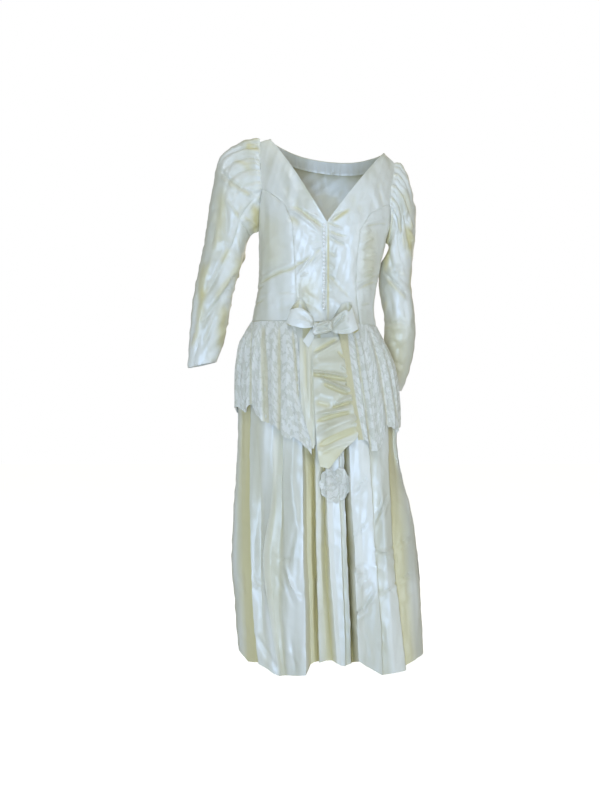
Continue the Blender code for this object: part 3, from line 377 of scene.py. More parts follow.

# Places of painted beige and golden shade on the satin: laid out like the creases, the strength as rise.
BODICE_PAINTED_SHADE = listed(Crease,
    (-150, -200, -142, -350, 0, 28, 0.32), (-55, -370, -50, -460, 0, 26, 0.4),
    (112, -236, 112, -385, 0, 22, 0.4), (10, -230, 56, -196, 0, 5, 0.9), (0, -231, 0, -486, 0, 2.4, 1.0),
    (-60, -120, -22, -190, 0, 12, 0.3), (-112, -350, -180, -378, 0, 5, 0.5))
LEFT_SLEEVE_PAINTED_SHADE = listed(Crease,
    (-194, -168, -200, -240, 0, 10, 1.0), (-282, -130, -302, -306, 3, 15, 0.5),
    (-332, -322, -345, -430, 0, 11, 0.6), (-329, -392, -350, -482, 0, 9, 0.6),
    (-278, -436, -291, -560, 0, 12, 0.75), (-230, -134, -268, -106, 0, 15, 0.3),
    (-262, -290, -286, -328, 0, 8, 0.6), (-244, -300, -246, -392, 0, 8, 0.5),
    (-222, 2, -188, -12, 0, 10, 0.95), (-250, -46, -204, -70, 0, 9, 0.5))
RIGHT_SLEEVE_PAINTED_SHADE = listed(Crease,
    (217, -222, 228, -292, 0, 12, 0.95), (170, -212, 160, -346, 0, 7, 0.9),
    (196, -466, 200, -648, 0, 30, 0.5), (206, -130, 226, -200, 0, 9, 0.4),
    (232, -330, 236, -400, 0, 8, 0.5))
BOW_CREASES = listed(Crease,
    (-79, -468, -43, -489, 0, 5, -2.4), (-85, -483, -43, -496, 0, 4, 2), (-66, -458, -41, -483, 0, 4, 2),
    (-100, -478, -74, -494, 0, 6, 1.2), (14, -502, 47, -468, 1, 3.2, -4.5),
    (11, -491, 45, -455, 1, 5, 3.5), (19, -509, 55, -483, 1, 5, 3), (22, -517, 60, -507, 0, 4, -2.4),
    (55, -447, 71, -494, 0, 6, 1.6))
KNOT_CREASES = listed(Crease,
    (-42, -508, -6, -490, 2, 2.6, -4.0), (-40, -500, 4, -484, 1, 4, 3.4),
    (-34, -519, 8, -497, 2, 2.8, -3.8), (-36, -514, 2, -494, 1, 4, 2.8),
    (-26, -525, 10, -508, 1, 3.2, 2.6), (-12, -488, 2, -520, 0, 2.6, -2.2))
BACK_CREASES = listed(Crease,
    (-120, -150, -60, -210, 6, 7, -1.8), (120, -170, 70, -230, -6, 7, -1.8),
    (-60, -330, -10, -352, 3, 5, 2.2), (20, -395, -50, -410, 3, 5, -2.2),
    (-95, -400, -30, -380, 4, 6, 2.0), (30, -360, -40, -338, -4, 6, -2.0),
    (-80, -455, -20, -470, 3, 5, 2.0), (10, -440, -60, -430, 3, 5, -1.8),
    (-30, -120, -20, -300, 5, 14, 1.6), (40, -110, 36, -290, -5, 14, 1.4))
SIDE_BACK_CREASES = listed(Crease,
    (-180, -340, -120, -352, 3, 4, -2.2), (-182, -372, -116, -366, 3, 4, 2.0),
    (-180, -400, -114, -415, 3, 5, -2.0), (130, -300, 70, -315, -3, 4, -2.2),
    (128, -350, 60, -344, 3, 4, 2.0), (124, -400, 48, -412, 3, 5, -2.0))
SKIRT_BACK_CREASES = listed(Crease,
    (-190, -880, -120, -850, 4, 4, -3.0), (-60, -960, 20, -930, 5, 4, -2.6),
    (60, -1050, 150, -1010, 5, 4, -3.0), (-210, -1090, -130, -1130, 5, 4, 2.6),
    (-100, -1180, -20, -1150, 5, 4, -2.8), (30, -1240, 110, -1210, 4, 4, 2.6),
    (130, -1180, 220, -1150, 5, 4, -2.8), (-180, -1280, -90, -1300, 4, 5, 2.2))

# Small tucks in the facing behind the neck: place, half width and height of each.
Tuck = namedtuple("Tuck", "x width rise")
FACING_TUCKS = listed(Tuck,
    (-122, 5, 1.6), (-108, 4, 2.0), (-97, 6, 1.4), (-84, 5, 3.4), (-72, 4, 2.2), (-62, 6, 1.2),
    (-50, 4, 2.4), (-40, 5, 1.6), (-27, 4, 2.6), (-16, 6, 1.4), (-5, 4, 2.2), (7, 5, 1.6), (18, 4, 2.4),
    (30, 7, 1.2), (44, 4, 2.2), (55, 5, 1.8), (68, 4, 2.4), (82, 5, 1.4), (96, 4, 2.2), (112, 6, 1.6))
FACING_TUCK_DEPTH = 1.9
FACING_TUCK_HIGH = 4.0
FACING_INSET = 4
FACING_CALM = 0.5
FACING_HEM = 0.8
FACING_HEM_SHARE = 0.08
FACING_SHADE = 0.12
FACING_SHADE_IN_TUCK = 1.1
FACING_SHADE_LOW = 1.25
FACING_SHADOW = 9.0
FACING_SHADOW_TINT = 0.6
# Painted warm shade over the whole back, meant for its inside seen through the neck
BACK_PAINTED_WARM_SHADE = 0.26
FACING_ROWS = 26
FRONT_COLUMNS = 56
SIDE_COLUMNS = 36
BACK_COLUMNS = 70

# Sewn edges
SEAM_DIP = 1.3
SEAM_DIP_WIDTH = 2.6
PUCKER = 11.0
PUCKER_DRIFT = 23.0
PUCKER_RISE = 0.28
PUCKER_REACH = 9.0
EDGE_WIDTH = 4.0
EDGE_RISE = 1.5
ARMHOLE_RIDGE = 2.4
ARMHOLE_RIDGE_WIDTH = 3.0
BACK_SHARE = 0.8
BACK_SHIFT = 22.0
GATHER_SLIDE = 3.0
GATHER_SINK = 4.0
GATHER_FADE = 1.4
GATHER_START = (0.35, 1.1)
SINK_REACH = 3.5
SINK_START = (0.2, 0.8)
FACE_OVERLAP = 0.1
FACE_BLEND = 0.5
SETTLED_AFTER = 1.5
SHARP_ANGLE = 50

# Lace overskirt: its free front edges and its lower edge.
Edge = namedtuple("Edge", "z left right")
LACE_FRONT_EDGE = listed(Edge, (-490, -88, 26), (-568, -77, 34), (-714, -70, 57), (-805, -44, 77))
Low = namedtuple("Low", "share z")
LACE_LOW_LEFT = listed(Low,
    (0, -716), (0.3, -716), (0.42, -724), (0.45, -712), (0.58, -734), (0.62, -750), (0.75, -762),
    (0.80, -788), (0.9, -794), (0.93, -806), (1, -830))
LACE_LOW_RIGHT = listed(Low,
    (0, -794), (0.1, -806), (0.2, -828), (0.28, -822), (0.37, -786), (0.42, -766), (0.6, -776),
    (0.7, -780), (0.8, -772), (1, -770))
LACE_LOW_BACK = listed(Low, (0, -770), (0.25, -786), (0.5, -796), (0.75, -768), (1, -716))
LACE_TOP_Z = -490.6
LACE_TOP_OUT = 1.6
LACE_OUT = 6.0
LACE_WAVE = 2.4
LACE_PHASE = 0.6
LACE_PLEAT = 1.3
# Painted shade in the troughs of the lace's pleats and laid creases
LACE_TROUGH_SHADE = 0.6
LACE_TROUGH = 5.0
LACE_CREASES = listed(Crease,
    (-212, -500, -208, -900, 0, 5, 3.5), (-202, -500, -199, -900, 0, 3.4, -4.0),
    (-190, -500, -184, -900, 0, 8, 2.5), (-172, -480, -155, -880, 0, 6.5, -6.5),
    (-144, -480, -141, -900, 0, 9, 4.5), (-129, -480, -126, -900, 0, 3.6, -6.0),
    (-112, -480, -104, -900, 0, 10, 3.0), (-95, -500, -78, -700, 1, 2.8, -4.5),
    (-88, -660, -66, -900, 0, 5, 3.0), (-230, -540, -236, -900, 0, 5, 2.5),
    (56, -480, 106, -860, 0, 3.4, 3.5), (64, -480, 114, -860, 0, 3.0, -4.0),
    (73, -480, 124, -860, 0, 4, 3.0), (92, -480, 146, -860, 2, 9, 2.0),
    (110, -500, 166, -860, 4, 5, -2.6), (124, -500, 186, -860, 5, 8, 3.0),
    (134, -520, 198, -860, 5, 4, -2.5))
LACE_FALL = 0.22
LACE_STEPS = 19
LACE_ROWS = 88
SCALLOP = 7.0
SMALL_SCALLOP = 2.2
SMALL_SCALLOPS = 3
PLEAT_BEAT = 4.1
PLEAT_SHARPNESS = 1.6
PLEAT_DRIFT = (1.6, 17)
PLEAT_STRENGTH = (0.6, 0.4, 29)
LACE_WAVE_WIDTH = 62.0
LACE_CRUMPLE = 1.1
LACE_CRUMPLE_SIZE = 34
LACE_STRETCH = 2.5
LACE_WAVES = {"lace_front_left": 7, "lace_front_right": 6, "lace_back": 10}
LACE_BAND = (26.0, 16.0)
LACE_BAND_BLEND = 3.0

# What lies over the front of the skirt, from its top down: its two edges and how far it
# stands out from the dress form.
Strip = namedtuple("Strip", "left_x left_z right_x right_z out")
DRAPE = listed(Strip,
    (-44, -536, 27, -528, 4.0), (-41, -600, 40, -590, 7.5), (-38, -668, 52, -655, 8.0),
    (-35, -740, 64, -722, 8.0), (-32, -792, 75, -785, 8.0), (-28, -836, 37, -826, 7.5),
    (-22, -868, 0, -873, 6.0))
SASH = listed(Strip,
    (-75, -534, -42, -534, 2.4), (-75, -600, -40, -600, 6.0), (-72, -700, -37, -700, 4.0),
    (-68, -790, -34, -796, 3.2), (-62, -818, -38, -822, 3.2))
SASH_CREASES = listed(Crease,
    (-62, -540, -58, -700, 1, 4, -0.9), (-52, -560, -48, -760, 1, 5, 0.8),
    (-66, -640, -54, -820, 2, 5, 0.8), (-44, -600, -40, -820, 0, 4, -0.8))
DRAPE_GRID = (150, 56)
SASH_GRID = (110, 24)
BOW_END_GRID = (24, 12)
LAID_DEPTH = 2.0
LAID_UNEVENNESS = 0.5
LAID_UNREST_SIZE = 30
LAID_CLEAR = 1.8
# Painted shade on the sash, which lies in shadow, and on the drape's lower tip; the whole drape is also mixed
# a little towards the shade colour
SASH_PAINTED_SHADE = 0.4
DRAPE_TINT = 0.25
DRAPE_TIP_Z = (-800.0, -840.0)
DRAPE_TIP_PAINTED_SHADE = 0.5
BOW_END = listed(Strip,
    (-46, -510, -37, -516, 6.0), (-55, -525, -38, -534, 6.5), (-66, -542, -52, -560, 8.5))
APPLIQUE_MIDDLE = (16.5, -915.0)
APPLIQUE_HALF = (41.0, 50.0)
APPLIQUE_LOBES = 11
APPLIQUE_LOBE = 0.09
APPLIQUE_NOTCH = 0.3
APPLIQUE_NOTCH_TURN = 0.25
APPLIQUE_OUT = 1.4
APPLIQUE_POINTS = 108
APPLIQUE_RINGS = 26
APPLIQUE_HEART = 0.02

# Bow loops, from behind the knot out and back to its front: the lower and upper edge of
# the band, and how far it lies behind the loop's middle.
Loop = namedtuple("Loop", "low_x low_z high_x high_z y")
BOW_LEFT = listed(Loop,
    (-42, -502, -42, -482, 4), (-62, -502, -56, -448, 12), (-86, -501, -73, -427, 14),
    (-103, -499, -90, -442, 9), (-110, -494, -100, -458, 0), (-99, -500, -93, -457, -11),
    (-68, -508, -74, -455, -15), (-50, -507, -50, -468, -11), (-40, -504, -40, -480, -4))
BOW_RIGHT = listed(Loop,
    (8, -514, 6, -490, 4), (34, -520, 30, -450, 12), (60, -522, 50, -437, 15), (77, -515, 60, -440, 9),
    (80, -509, 63, -450, 0), (60, -520, 53, -464, -12), (38, -523, 44, -460, -15),
    (20, -521, 20, -476, -11), (6, -514, 4, -489, -4))
BOW_COLUMNS = 110
BOW_ROWS = 44
BOW_BELLY = 4.0
BOW_EDGE_LIP = 1.4
BOW_LIP_SHARE = 0.06
BOW_PINCH = 2.2
BOW_PINCH_SHARE = 0.45
BOW_PINCH_WAVE = (3.4, 0.8)
BOW_FRONT_BLEND = 1.2
# Painted golden shade inside the bow loops, and how far it lifts near their upper edge
BOW_INSIDE_BLEND = 1.5
BOW_SHADE_EDGE_LIFT = 0.8
KNOT_X = -15.5
KNOT_Z = -507.0
KNOT_HALF = (26.0, 15.0, 15.5)
KNOT_SQUARENESS = 0.5
KNOT_SLANT = 0.22
KNOT_COLUMNS = 80
KNOT_ROWS = 50
KNOT_END = 0.06
KNOT_WRAP = 1.3
KNOT_WRAP_WAVE = (0.20, 0.26)

# Covered buttons beside the front opening, and their loops
BUTTONS = 23
BUTTON_RADIUS = 4.0
BUTTON_DOME = 2.7
BUTTON_OUT = 1.6
LOOP_WIRE = 0.55
LOOP_REACH = 5.0
LOOP_ASIDE = 0.75
LOOP_OUT = 0.4
PEARL_RADIUS = 1.0
PEARL_DENSITY = 9000.0

# Finishes: colours as sRGB, and pattern sizes in millimetres. Threads are drawn wider
# than real ones so that they show.
IVORY = "E8E6D8"
IVORY_AGED = "D5D2BE"
# Colour of the painted golden shade in folds, troughs and shadowed places
IVORY_PAINTED_SHADE = "D6CA92"
BUTTON_IVORY = "F8F5EC"
BUTTON_SHADE = "F0ECDF"
PATCH_SIZE = 130.0
THREAD_SIZE = 2.2
THREAD_RISE = 0.25
CRUSH_SIZE = 16.0
CRUSH_RISE = 1.4
LACE_THREAD = "ECE9DA"
LACE_GAP = "D5D2BC"
# Colour of the lace's painted trough shade, and of the band along its right front edge
LACE_SHADE_AND_EDGE = "D9CEA2"
LACE_RISE = 0.7
FLOWER_SIZE = 34.0
BUD_SIZE = 21.0
NET_SIZE = 3.6
PETALS = 5
PETAL_LOBE = 0.16
PETAL_REACH = 0.22
FLOWER_SHIFT = 0.013
BUD_SHIFT = 0.041
CORD_RISE = 1.2
PEARL_CREAM = "F4EEDD"
PEARL_ROSE = "EBD9CC"
PEARL_TINT_SIZE = 3.0

# Studio
CAMERA_PLACE = (-0.07425, -2.3, -0.69575)
CAMERA_LENS = 37.64
FLOOR_Z = -1.56
FLOOR_CORNERS = ((-9.0, -9.0), (9.0, -9.0), (9.0, 9.0), (-9.0, 9.0))
FLOOR_GRAIN = 3.0
FLOOR_WHITES = ("F6F6F4", "FBFBFA")
FLOOR_GLOW = 0.75
WORLD_LIGHT = 0.33
WORLD_TINT = "F3F3E2"

# Soft boxes, in metres, watts and sRGB, with the angle over which each spreads its light
DRESS_MIDDLE = (-0.04, 0, -0.7)
INSIDE_BACK = (-0.02, 0.09, -0.14)
Lamp = namedtuple("Lamp", "name place target size power colour spread")
LAMPS = listed(Lamp,
    ("front_window", (-0.35, -2.7, -1.15), DRESS_MIDDLE, (0.6, 2.2), 55, "B4D2FF", 180.0),
    ("sky_window", (-0.6, -1.8, 1.5), DRESS_MIDDLE, (0.8, 0.8), 15, "DFEBFF", 180.0),
    ("right_window", (1.7, -1.7, -0.8), DRESS_MIDDLE, (0.5, 1.8), 12, "DCE9FF", 180.0),
    ("side_rim", (-2.4, 0.3, -0.4), DRESS_MIDDLE, (0.6, 2.0), 5, "C4DFFF", 180.0),
    ("back_fill", (0.8, 2.6, 0.6), DRESS_MIDDLE, (1.8, 1.8), 16, "FFF4E0", 180.0),
    ("neck_fill", (-0.02, -0.12, 0.36), INSIDE_BACK, (0.26, 0.16), 0.11, "F3F8E6", 56.0))


def smooth(xs, ys, at):
    """Smooth curve through points, level past the first and the last."""
    xs, ys = np.asarray(xs, float), np.asarray(ys, float)
    at = np.clip(np.asarray(at, float), xs[0], xs[-1])
    slopes = np.gradient(ys, xs, axis=0)
    i = np.clip(np.searchsorted(xs, at) - 1, 0, len(xs) - 2)
    h = xs[i + 1] - xs[i]
    t = (at - xs[i]) / h
    rise = t * t * (3 - 2 * t)
    if ys.ndim > 1:
        h, t, rise = h[..., None], t[..., None], rise[..., None]
    return (ys[i] * (1 - rise) + ys[i + 1] * rise
            + h * slopes[i] * t * (1 - t) ** 2 - h * slopes[i + 1] * t * t * (1 - t))


def read(table, key, name, at):
    """Smooth curve through one column of a table."""
    rows = sorted((getattr(row, key), getattr(row, name)) for row in table)
    return smooth([row[0] for row in rows], [row[1] for row in rows], at)


def read_straight(table, key, name, at):
    """Straight runs between the rows of a table."""
    rows = sorted((getattr(row, key), getattr(row, name)) for row in table)
    return np.interp(at, [row[0] for row in rows], [row[1] for row in rows])


def ease(share):
    """From 0 to 1 with soft ends."""
    share = np.clip(share, 0, 1)
    return share * share * (3 - 2 * share)


def angle_at(x, z, back=False):
    """Angle round the ring at height z of a point x: 0 at the front, a half turn at the back."""
    left = read(BODY, "z", "left", z)
    right = read(BODY, "z", "right", z)
    share = np.clip((x - (left + right) / 2) / ((right - left) / 2), -1, 1)
    turn = np.arcsin(np.abs(share) ** (ROUNDNESS / 2)) * np.sign(share)
    return np.pi - turn if back else turn


def body(turn, z):
    """Point of the smooth dress form at an angle and a height, before folds."""
    turn, z = np.broadcast_arrays(np.asarray(turn, float), np.asarray(z, float))
    left = read(BODY, "z", "left", z)
    right = read(BODY, "z", "right", z)
    sine, cosine = np.sin(turn), np.cos(turn)
    share = np.sign(sine) * np.abs(sine) ** (2 / ROUNDNESS)
    x = (left + right) / 2 + (right - left) / 2 * share
    forward = np.abs(cosine) ** (2 / ROUNDNESS)
    front = cosine >= 0
    reach = np.where(front, read(BODY, "z", "front", z), read(BODY, "z", "back", z))
    line = read(SHOULDER_LINE, "share", "z", np.abs(share))
    drop = np.clip((line - z) / SHOULDER_ROUND, 0, 1)
    rounded = (1 - (1 - drop) ** SHOULDER_POWER) ** (1 / SHOULDER_POWER)
    depth = reach * forward * rounded + SHOULDER_SEAM_HALF * (1 - rounded)
    spread = (np.abs(x - OPENING_X) - BUST_X) / BUST_WIDTH
    bust = BUST_RISE * np.exp(-spread ** 2 - ((z - BUST_Z) / BUST_HEIGHT) ** 2)
    y = np.where(front, -depth - bust * forward, depth)
    lift = LEFT_TIP_LIFT * np.clip((LEFT_TIP_X - x) / LEFT_TIP_RUN, 0, 1)
    lift = lift * np.clip((z - LEFT_TIP_Z) / LEFT_TIP_HEIGHT, 0, 1)
    return np.stack([x, y, z - read(TILT, "z", "slope", z) * x + lift], axis=-1)


def outward(turn, z):
    """Level direction away from the middle of the ring."""
    left = read(BODY, "z", "left", z)
    right = read(BODY, "z", "right", z)
    wide = (right - left) / 2
    front = np.cos(turn) >= 0
    deep = np.where(front, read(BODY, "z", "front", z), read(BODY, "z", "back", z))
    point = body(turn, z)
    x = (point[..., 0] - (left + right) / 2) / wide ** 2
    y = point[..., 1] / deep ** 2
    length = np.sqrt(x * x + y * y)
    return np.stack([x / length, y / length, np.zeros_like(x)], axis=-1)


def grid_normals(grid, closed=False):
    """Outward directions at the points of a grid."""
    if closed:
        across = np.roll(grid, -1, axis=1) - np.roll(grid, 1, axis=1)
    else:
        across = np.gradient(grid, axis=1)
    up = np.gradient(grid, axis=0)
    normal = np.cross(across, up)
    return normal / np.maximum(np.linalg.norm(normal, axis=-1, keepdims=True), 1e-9)


def run_across(grid):
    """Length along each row of a grid from its first point."""
    steps = np.linalg.norm(np.diff(grid, axis=1), axis=-1)
    return np.concatenate([np.zeros((len(grid), 1)), np.cumsum(steps, axis=1)], axis=1)


def run_up(grid):
    """Length along each column of a grid from its first point."""
    steps = np.linalg.norm(np.diff(grid, axis=0), axis=-1)
    return np.concatenate([np.zeros((1, grid.shape[1])), np.cumsum(steps, axis=0)], axis=0)


def creased(table, x, z):
    """Height of the soft ridges and troughs of a table at places seen from the front."""
    height = np.zeros(np.shape(x))
    for row in table:
        along = np.array([row.x1 - row.x0, row.z1 - row.z0], float)
        length = np.hypot(*along)
        along /= length
        t = ((x - row.x0) * along[0] + (z - row.z0) * along[1]) / length
        aside = (x - row.x0) * -along[1] + (z - row.z0) * along[0]
        aside = aside - row.bow * 4 * t * (1 - t)
        taper = 3 * CREASE_TAPER
        ends = ease((t + CREASE_TAPER) / taper) * ease((1 + CREASE_TAPER - t) / taper)
        height += CREASE_DEPTH * row.rise * ends * np.exp(-(aside / row.width) ** 2)
    return height


def painted_trough_shade(height):
    """How much painted shade darkens and warms the cloth where it lies in a trough."""
    return TROUGH_SHADE_STRENGTH * ease(-height / TROUGH)


def painted_shade_tint(height, table, x, z):
    """Painted shade of the troughs together with the painted shade places of a table."""
    return np.clip(np.maximum(painted_trough_shade(height), creased(table, x, z) / CREASE_DEPTH), 0, 1)


def unrest(x, z, size, seed, stretch=1.0, pinch=0.0):
    """Uneven swell of cloth from about -1 to 1; stretch draws it out downwards, and pinch
    sharpens its crests into creases."""
    chance = np.random.default_rng(seed)
    height = np.zeros(np.shape(x))
    for _ in range(UNREST_WAVES):
        heading = chance.uniform(0, 2 * np.pi)
        wave = 2 * np.pi / (size * chance.uniform(*UNREST_SIZES))
        start = chance.uniform(0, 2 * np.pi)
        swell = np.sin(wave * (x * np.cos(heading) + z / stretch * np.sin(heading)) + start)
        height += swell * (1 - pinch) + pinch * PINCH_RISE * (PINCH_LEVEL - np.abs(swell))
    return height / UNREST_WAVES ** 0.5 * UNREST_SHARE


def rows_of_panels():
    """Heights of the bodice's cutting lines on the princess seam and on the opening."""
    count = (len(PANEL_ROWS) - 1) * ROW_STEPS + 1
    at = np.linspace(0, len(PANEL_ROWS) - 1, count)
    given = range(len(PANEL_ROWS))
    seam_z = np.interp(at, given, [row.seam_z for row in PANEL_ROWS])
    centre_z = np.interp(at, given, [row.centre_z for row in PANEL_ROWS])
    return seam_z, centre_z


def between(first, last, steps):
    """Rows of points spread evenly from one edge to the other."""
    share = np.linspace(0, 1, steps + 1)
    return first[:, None] * (1 - share) + last[:, None] * share


def v_edge(z):
    """Distance of the neck edge from the opening; nothing below the point of the V."""
    rise = (np.asarray(z, float) - V_POINT_Z) / (0 - V_POINT_Z)
    return (NECK_HALF_WIDTH + OPENING_X) * np.clip(rise, 0, 1)


def centre_front(side):
    """Front panel from the opening and V edge out to the princess seam and armhole."""
    seam_z, centre_z = rows_of_panels()
    sign = SIGN[side]
    seam_x = read_straight(FRONT_SEAMS, "z", side, seam_z)
    neck_end = NECK_HALF_WIDTH * sign
    edge_x = OPENING_X + (neck_end - OPENING_X) * v_edge(centre_z) / v_edge(0)
    inner = angle_at(edge_x + sign * SEAM_GAP / 2, centre_z)
    outer = angle_at(seam_x - sign * SEAM_GAP / 2, seam_z)
    grid = body(between(inner, outer, FRONT_COLUMNS), between(centre_z, seam_z, FRONT_COLUMNS))
    return grid[:, ::sign]


def side_panel(side, back):
    """Panel between a princess seam and the side seam, up to the armhole."""
    sign = SIGN[side]
    seam_z = rows_of_panels()[0][:(PRINCESS_ROWS - 1) * ROW_STEPS + 1]
    seam_x = read_straight(BACK_SEAMS if back else FRONT_SEAMS, "z", side, seam_z)
    side_z = WAIST_Z + (seam_z - WAIST_Z) * (ARMPIT_Z - WAIST_Z) / (PRINCESS_TOP_Z - WAIST_Z)
    inner = angle_at(seam_x + sign * SEAM_GAP / 2, seam_z, back)
    gap_turn = SEAM_GAP / 2 / BUST_HALF_DEPTH
    side_turn = sign * np.pi / 2 + (sign if back else -sign) * gap_turn
    if back and sign < 0:
        side_turn = 1.5 * np.pi - gap_turn
    outer = np.full(len(seam_z), side_turn)
    grid = body(between(inner, outer, SIDE_COLUMNS), between(seam_z, side_z, SIDE_COLUMNS))
    return grid[:, ::-sign] if back else grid[:, ::sign]


def back_neck_z(share):
    """Height of the back's top edge: the shoulder seams, and the neckline between them."""
    neck = NECK_HALF_WIDTH / SHOULDER_HALF_WIDTH
    curve = -BACK_NECK_DROP * (1 - (np.clip(np.abs(share) / neck, 0, 1)) ** 2.5)
    seam = read(SHOULDER_LINE, "share", "z", np.abs(share))
    return np.where(np.abs(share) < neck, curve, seam)


def centre_back():
    """Back in one piece between its princess seams, up to the neckline."""
    seam_z = rows_of_panels()[0][:, None]
    shares = np.linspace(-1, 1, BACK_COLUMNS)
    left = read_straight(BACK_SEAMS, "z", "left", seam_z) + SEAM_GAP / 2
    right = read_straight(BACK_SEAMS, "z", "right", seam_z) - SEAM_GAP / 2
    x = (left + right) / 2 + (right - left) / 2 * shares
    lift = np.clip((seam_z - PRINCESS_TOP_Z) / (SHOULDER_TIP_Z - PRINCESS_TOP_Z), 0, 1)
    level = seam_z + lift * (back_neck_z(shares) - SHOULDER_TIP_Z)
    return body(angle_at(x, level, back=True), level)[:, ::-1]


def neck_facing(back_panel):
    """Band inside the back neckline, drawn up in small uneven tucks."""
    first = len(back_panel) - 1 - ROW_STEPS
    part = slice(FACING_INSET, -FACING_INSET)
    inside = back_panel[first:, part]
    normal = grid_normals(back_panel)[first:, part]
    height = np.linspace(*FACING_HEIGHTS, FACING_ROWS)[:, None, None]
    point = inside[0] * (1 - height) + inside[-1] * height
    direction = normal[0] * (1 - height) + normal[-1] * height
    x, height = point[..., 0], height[..., 0]
    tucks = sum(tuck.rise * np.exp(-((x - tuck.x) / tuck.width) ** 2) for tuck in FACING_TUCKS)
    tucks = tucks * FACING_TUCK_DEPTH
    lower = np.exp(-((height - FACING_HEIGHTS[0]) / FACING_HEM_SHARE) ** 2)
    depth = FACING_IN + tucks * (1 - FACING_CALM * height) + FACING_HEM * lower
    shade = FACING_SHADE * (FACING_SHADE_IN_TUCK - tucks / FACING_TUCK_HIGH) * (FACING_SHADE_LOW - height)
    return (point - direction * depth[..., None])[::-1], np.clip(shade, 0, 1)[::-1]


def raised(grid, height, closed=False):
    """Moves the points of a grid out along their normals."""
    return grid + grid_normals(grid, closed) * height[..., None]


def seam_dips(grid, first=True, last=True):
    """Cloth turned in at its sewn edges, puckered a little along them."""
    run = run_across(grid)
    z = grid[..., 2]
    height = np.zeros(z.shape)
    for wanted, away in ((first, run), (last, run[:, -1:] - run)):
        if wanted:
            pucker = np.sin(z * 2 * np.pi / PUCKER + 1.7 * np.sin(z / PUCKER_DRIFT))
            height -= SEAM_DIP * np.exp(-(away / SEAM_DIP_WIDTH) ** 2)
            height += PUCKER_RISE * pucker * np.exp(-(away / PUCKER_REACH) ** 2)
    return height


def front_relief(grid, seed, table):
    """Creases seen from the front, and the cloth's own slight unrest."""
    x, z = grid[..., 0], grid[..., 2]
    crumple = unrest(x, z, CRUMPLE_SIZE, seed + SEEDS["crumple"], BODICE_STRETCH, CRUMPLE_PINCH)
    return creased(table, x, z) + UNREST_RISE * unrest(x, z, UNREST_SIZE, seed) + CRUMPLE_RISE * crumple


def finished_edge(away):
    """Rounded ridge of a turned edge, from the distance to it."""
    return EDGE_RISE * np.exp(-(away / EDGE_WIDTH) ** 2)


def front_panel(side):
    """A front panel with its creases, its seam and its turned V edge."""
    grid = centre_front(side)
    run = run_across(grid)
    away, seam = (run, run[:, -1:] - run) if side == "right" else (run[:, -1:] - run, run)
    height = front_relief(grid, SEEDS["front"], BODICE_CREASES) + finished_edge(away)
    height += seam_dips(grid, first=side == "left", last=side == "right")
    first = (PRINCESS_ROWS - 1) * ROW_STEPS
    height[first:] += ARMHOLE_RIDGE * np.exp(-(seam[first:] / ARMHOLE_RIDGE_WIDTH) ** 2)
    return raised(grid, height), painted_shade_tint(height, BODICE_PAINTED_SHADE, grid[..., 0], grid[..., 2])


def dressed_side(side, back):
    """A side panel with creases and sewn edges."""
    grid = side_panel(side, back)
    x, z = grid[..., 0], grid[..., 2]
    if back:
        height = UNREST_RISE * LIVELY * unrest(x, z, UNREST_SIZE, SEEDS["side_back"])
        height += creased(SIDE_BACK_CREASES, x, z)
    else:
        height = front_relief(grid, SEEDS["side"], BODICE_CREASES)
    tint = painted_shade_tint(height, () if back else BODICE_PAINTED_SHADE, x, z)
    return raised(grid, height + seam_dips(grid)), tint


def dressed_back():
    """The back with creases, a painted warm shadow under the lower edge of the facing, and painted warm shade
    over all of it.
    """
    grid = centre_back()
    x, z = grid[..., 0], grid[..., 2]
    height = creased(BACK_CREASES, x, z)
    height += UNREST_RISE * unrest(x, z, UNREST_SIZE, SEEDS["back"])
    low = FACING_HEIGHTS[0]
    below = (z[len(z) - 1 - ROW_STEPS] * (1 - low) + z[-1] * low - z) / FACING_SHADOW
    shade = FACING_SHADOW_TINT * np.exp(-np.abs(below)) + BACK_PAINTED_WARM_SHADE
    return raised(grid, height + seam_dips(grid)), np.clip(painted_trough_shade(height) + shade, 0, 1)


def armhole(side, panels):
    """Closed line of the armhole through the edges of the panels round it."""
    front, side_front, side_back, back = panels
    sign = SIGN[side]
    first = (PRINCESS_ROWS - 1) * ROW_STEPS
    down_front = front[first:, -1 if sign > 0 else 0][::-1]
    across_front = side_front[-1][::sign]
    across_back = side_back[-1][::-sign][::-1]
    up_back = back[first:, 0 if sign > 0 else -1]
    return np.concatenate([down_front, across_front[1:], across_back[1:-1], up_back])


def along_line(line, share):
    """Points at shares of the length of a closed line."""
    closed = np.concatenate([line, line[:1]])
    steps = np.linalg.norm(np.diff(closed, axis=0), axis=1)
    length = np.concatenate([[0], np.cumsum(steps)]) / steps.sum()
    return np.stack([np.interp(share, length, closed[:, k]) for k in range(3)], axis=-1)


def sleeve_form(side, table, line, turns, steps):
    """Rings of a sleeve from the armhole line over its crown down to the cuff."""
    sign = SIGN[side]
    clear = np.array([sign * ARMHOLE_CLEAR, 0, 0])
    base = along_line(line, (turns / (2 * np.pi)) % 1) + clear
    top, pit = along_line(line, np.array([0.0, 0.5])) + clear
    near_top = np.cos(turns / 2)[:, None] ** 2
    bunch = np.exp(-(turns / CROWN_TURN) ** 2)[:, None]
    crown = base + bunch * np.array([-sign * CROWN_IN, 0, CROWN_RISE[side]])
    values = np.array(table, float)
    rings = []
    for step in steps:
        row = Cuff(*smooth(np.arange(1, len(table) + 1), values, np.array([max(step, 1.0)]))[0])
        outer = np.array([row.outer_x, row.y, row.outer_z])
        inner = np.array([row.inner_x, row.y, row.inner_z])
        ring = (outer + inner) / 2 + np.cos(turns)[:, None] * (outer - inner) / 2
        ring[:, 1] -= row.depth * np.sin(turns)
        own = base + (outer - top) * near_top + (inner - pit) * (1 - near_top)
        ring = ring * (1 - row.set_in) + own * row.set_in
        rings.append(crown * (1 - min(step, 1)) + ring * min(step, 1))
    return np.array(rings)


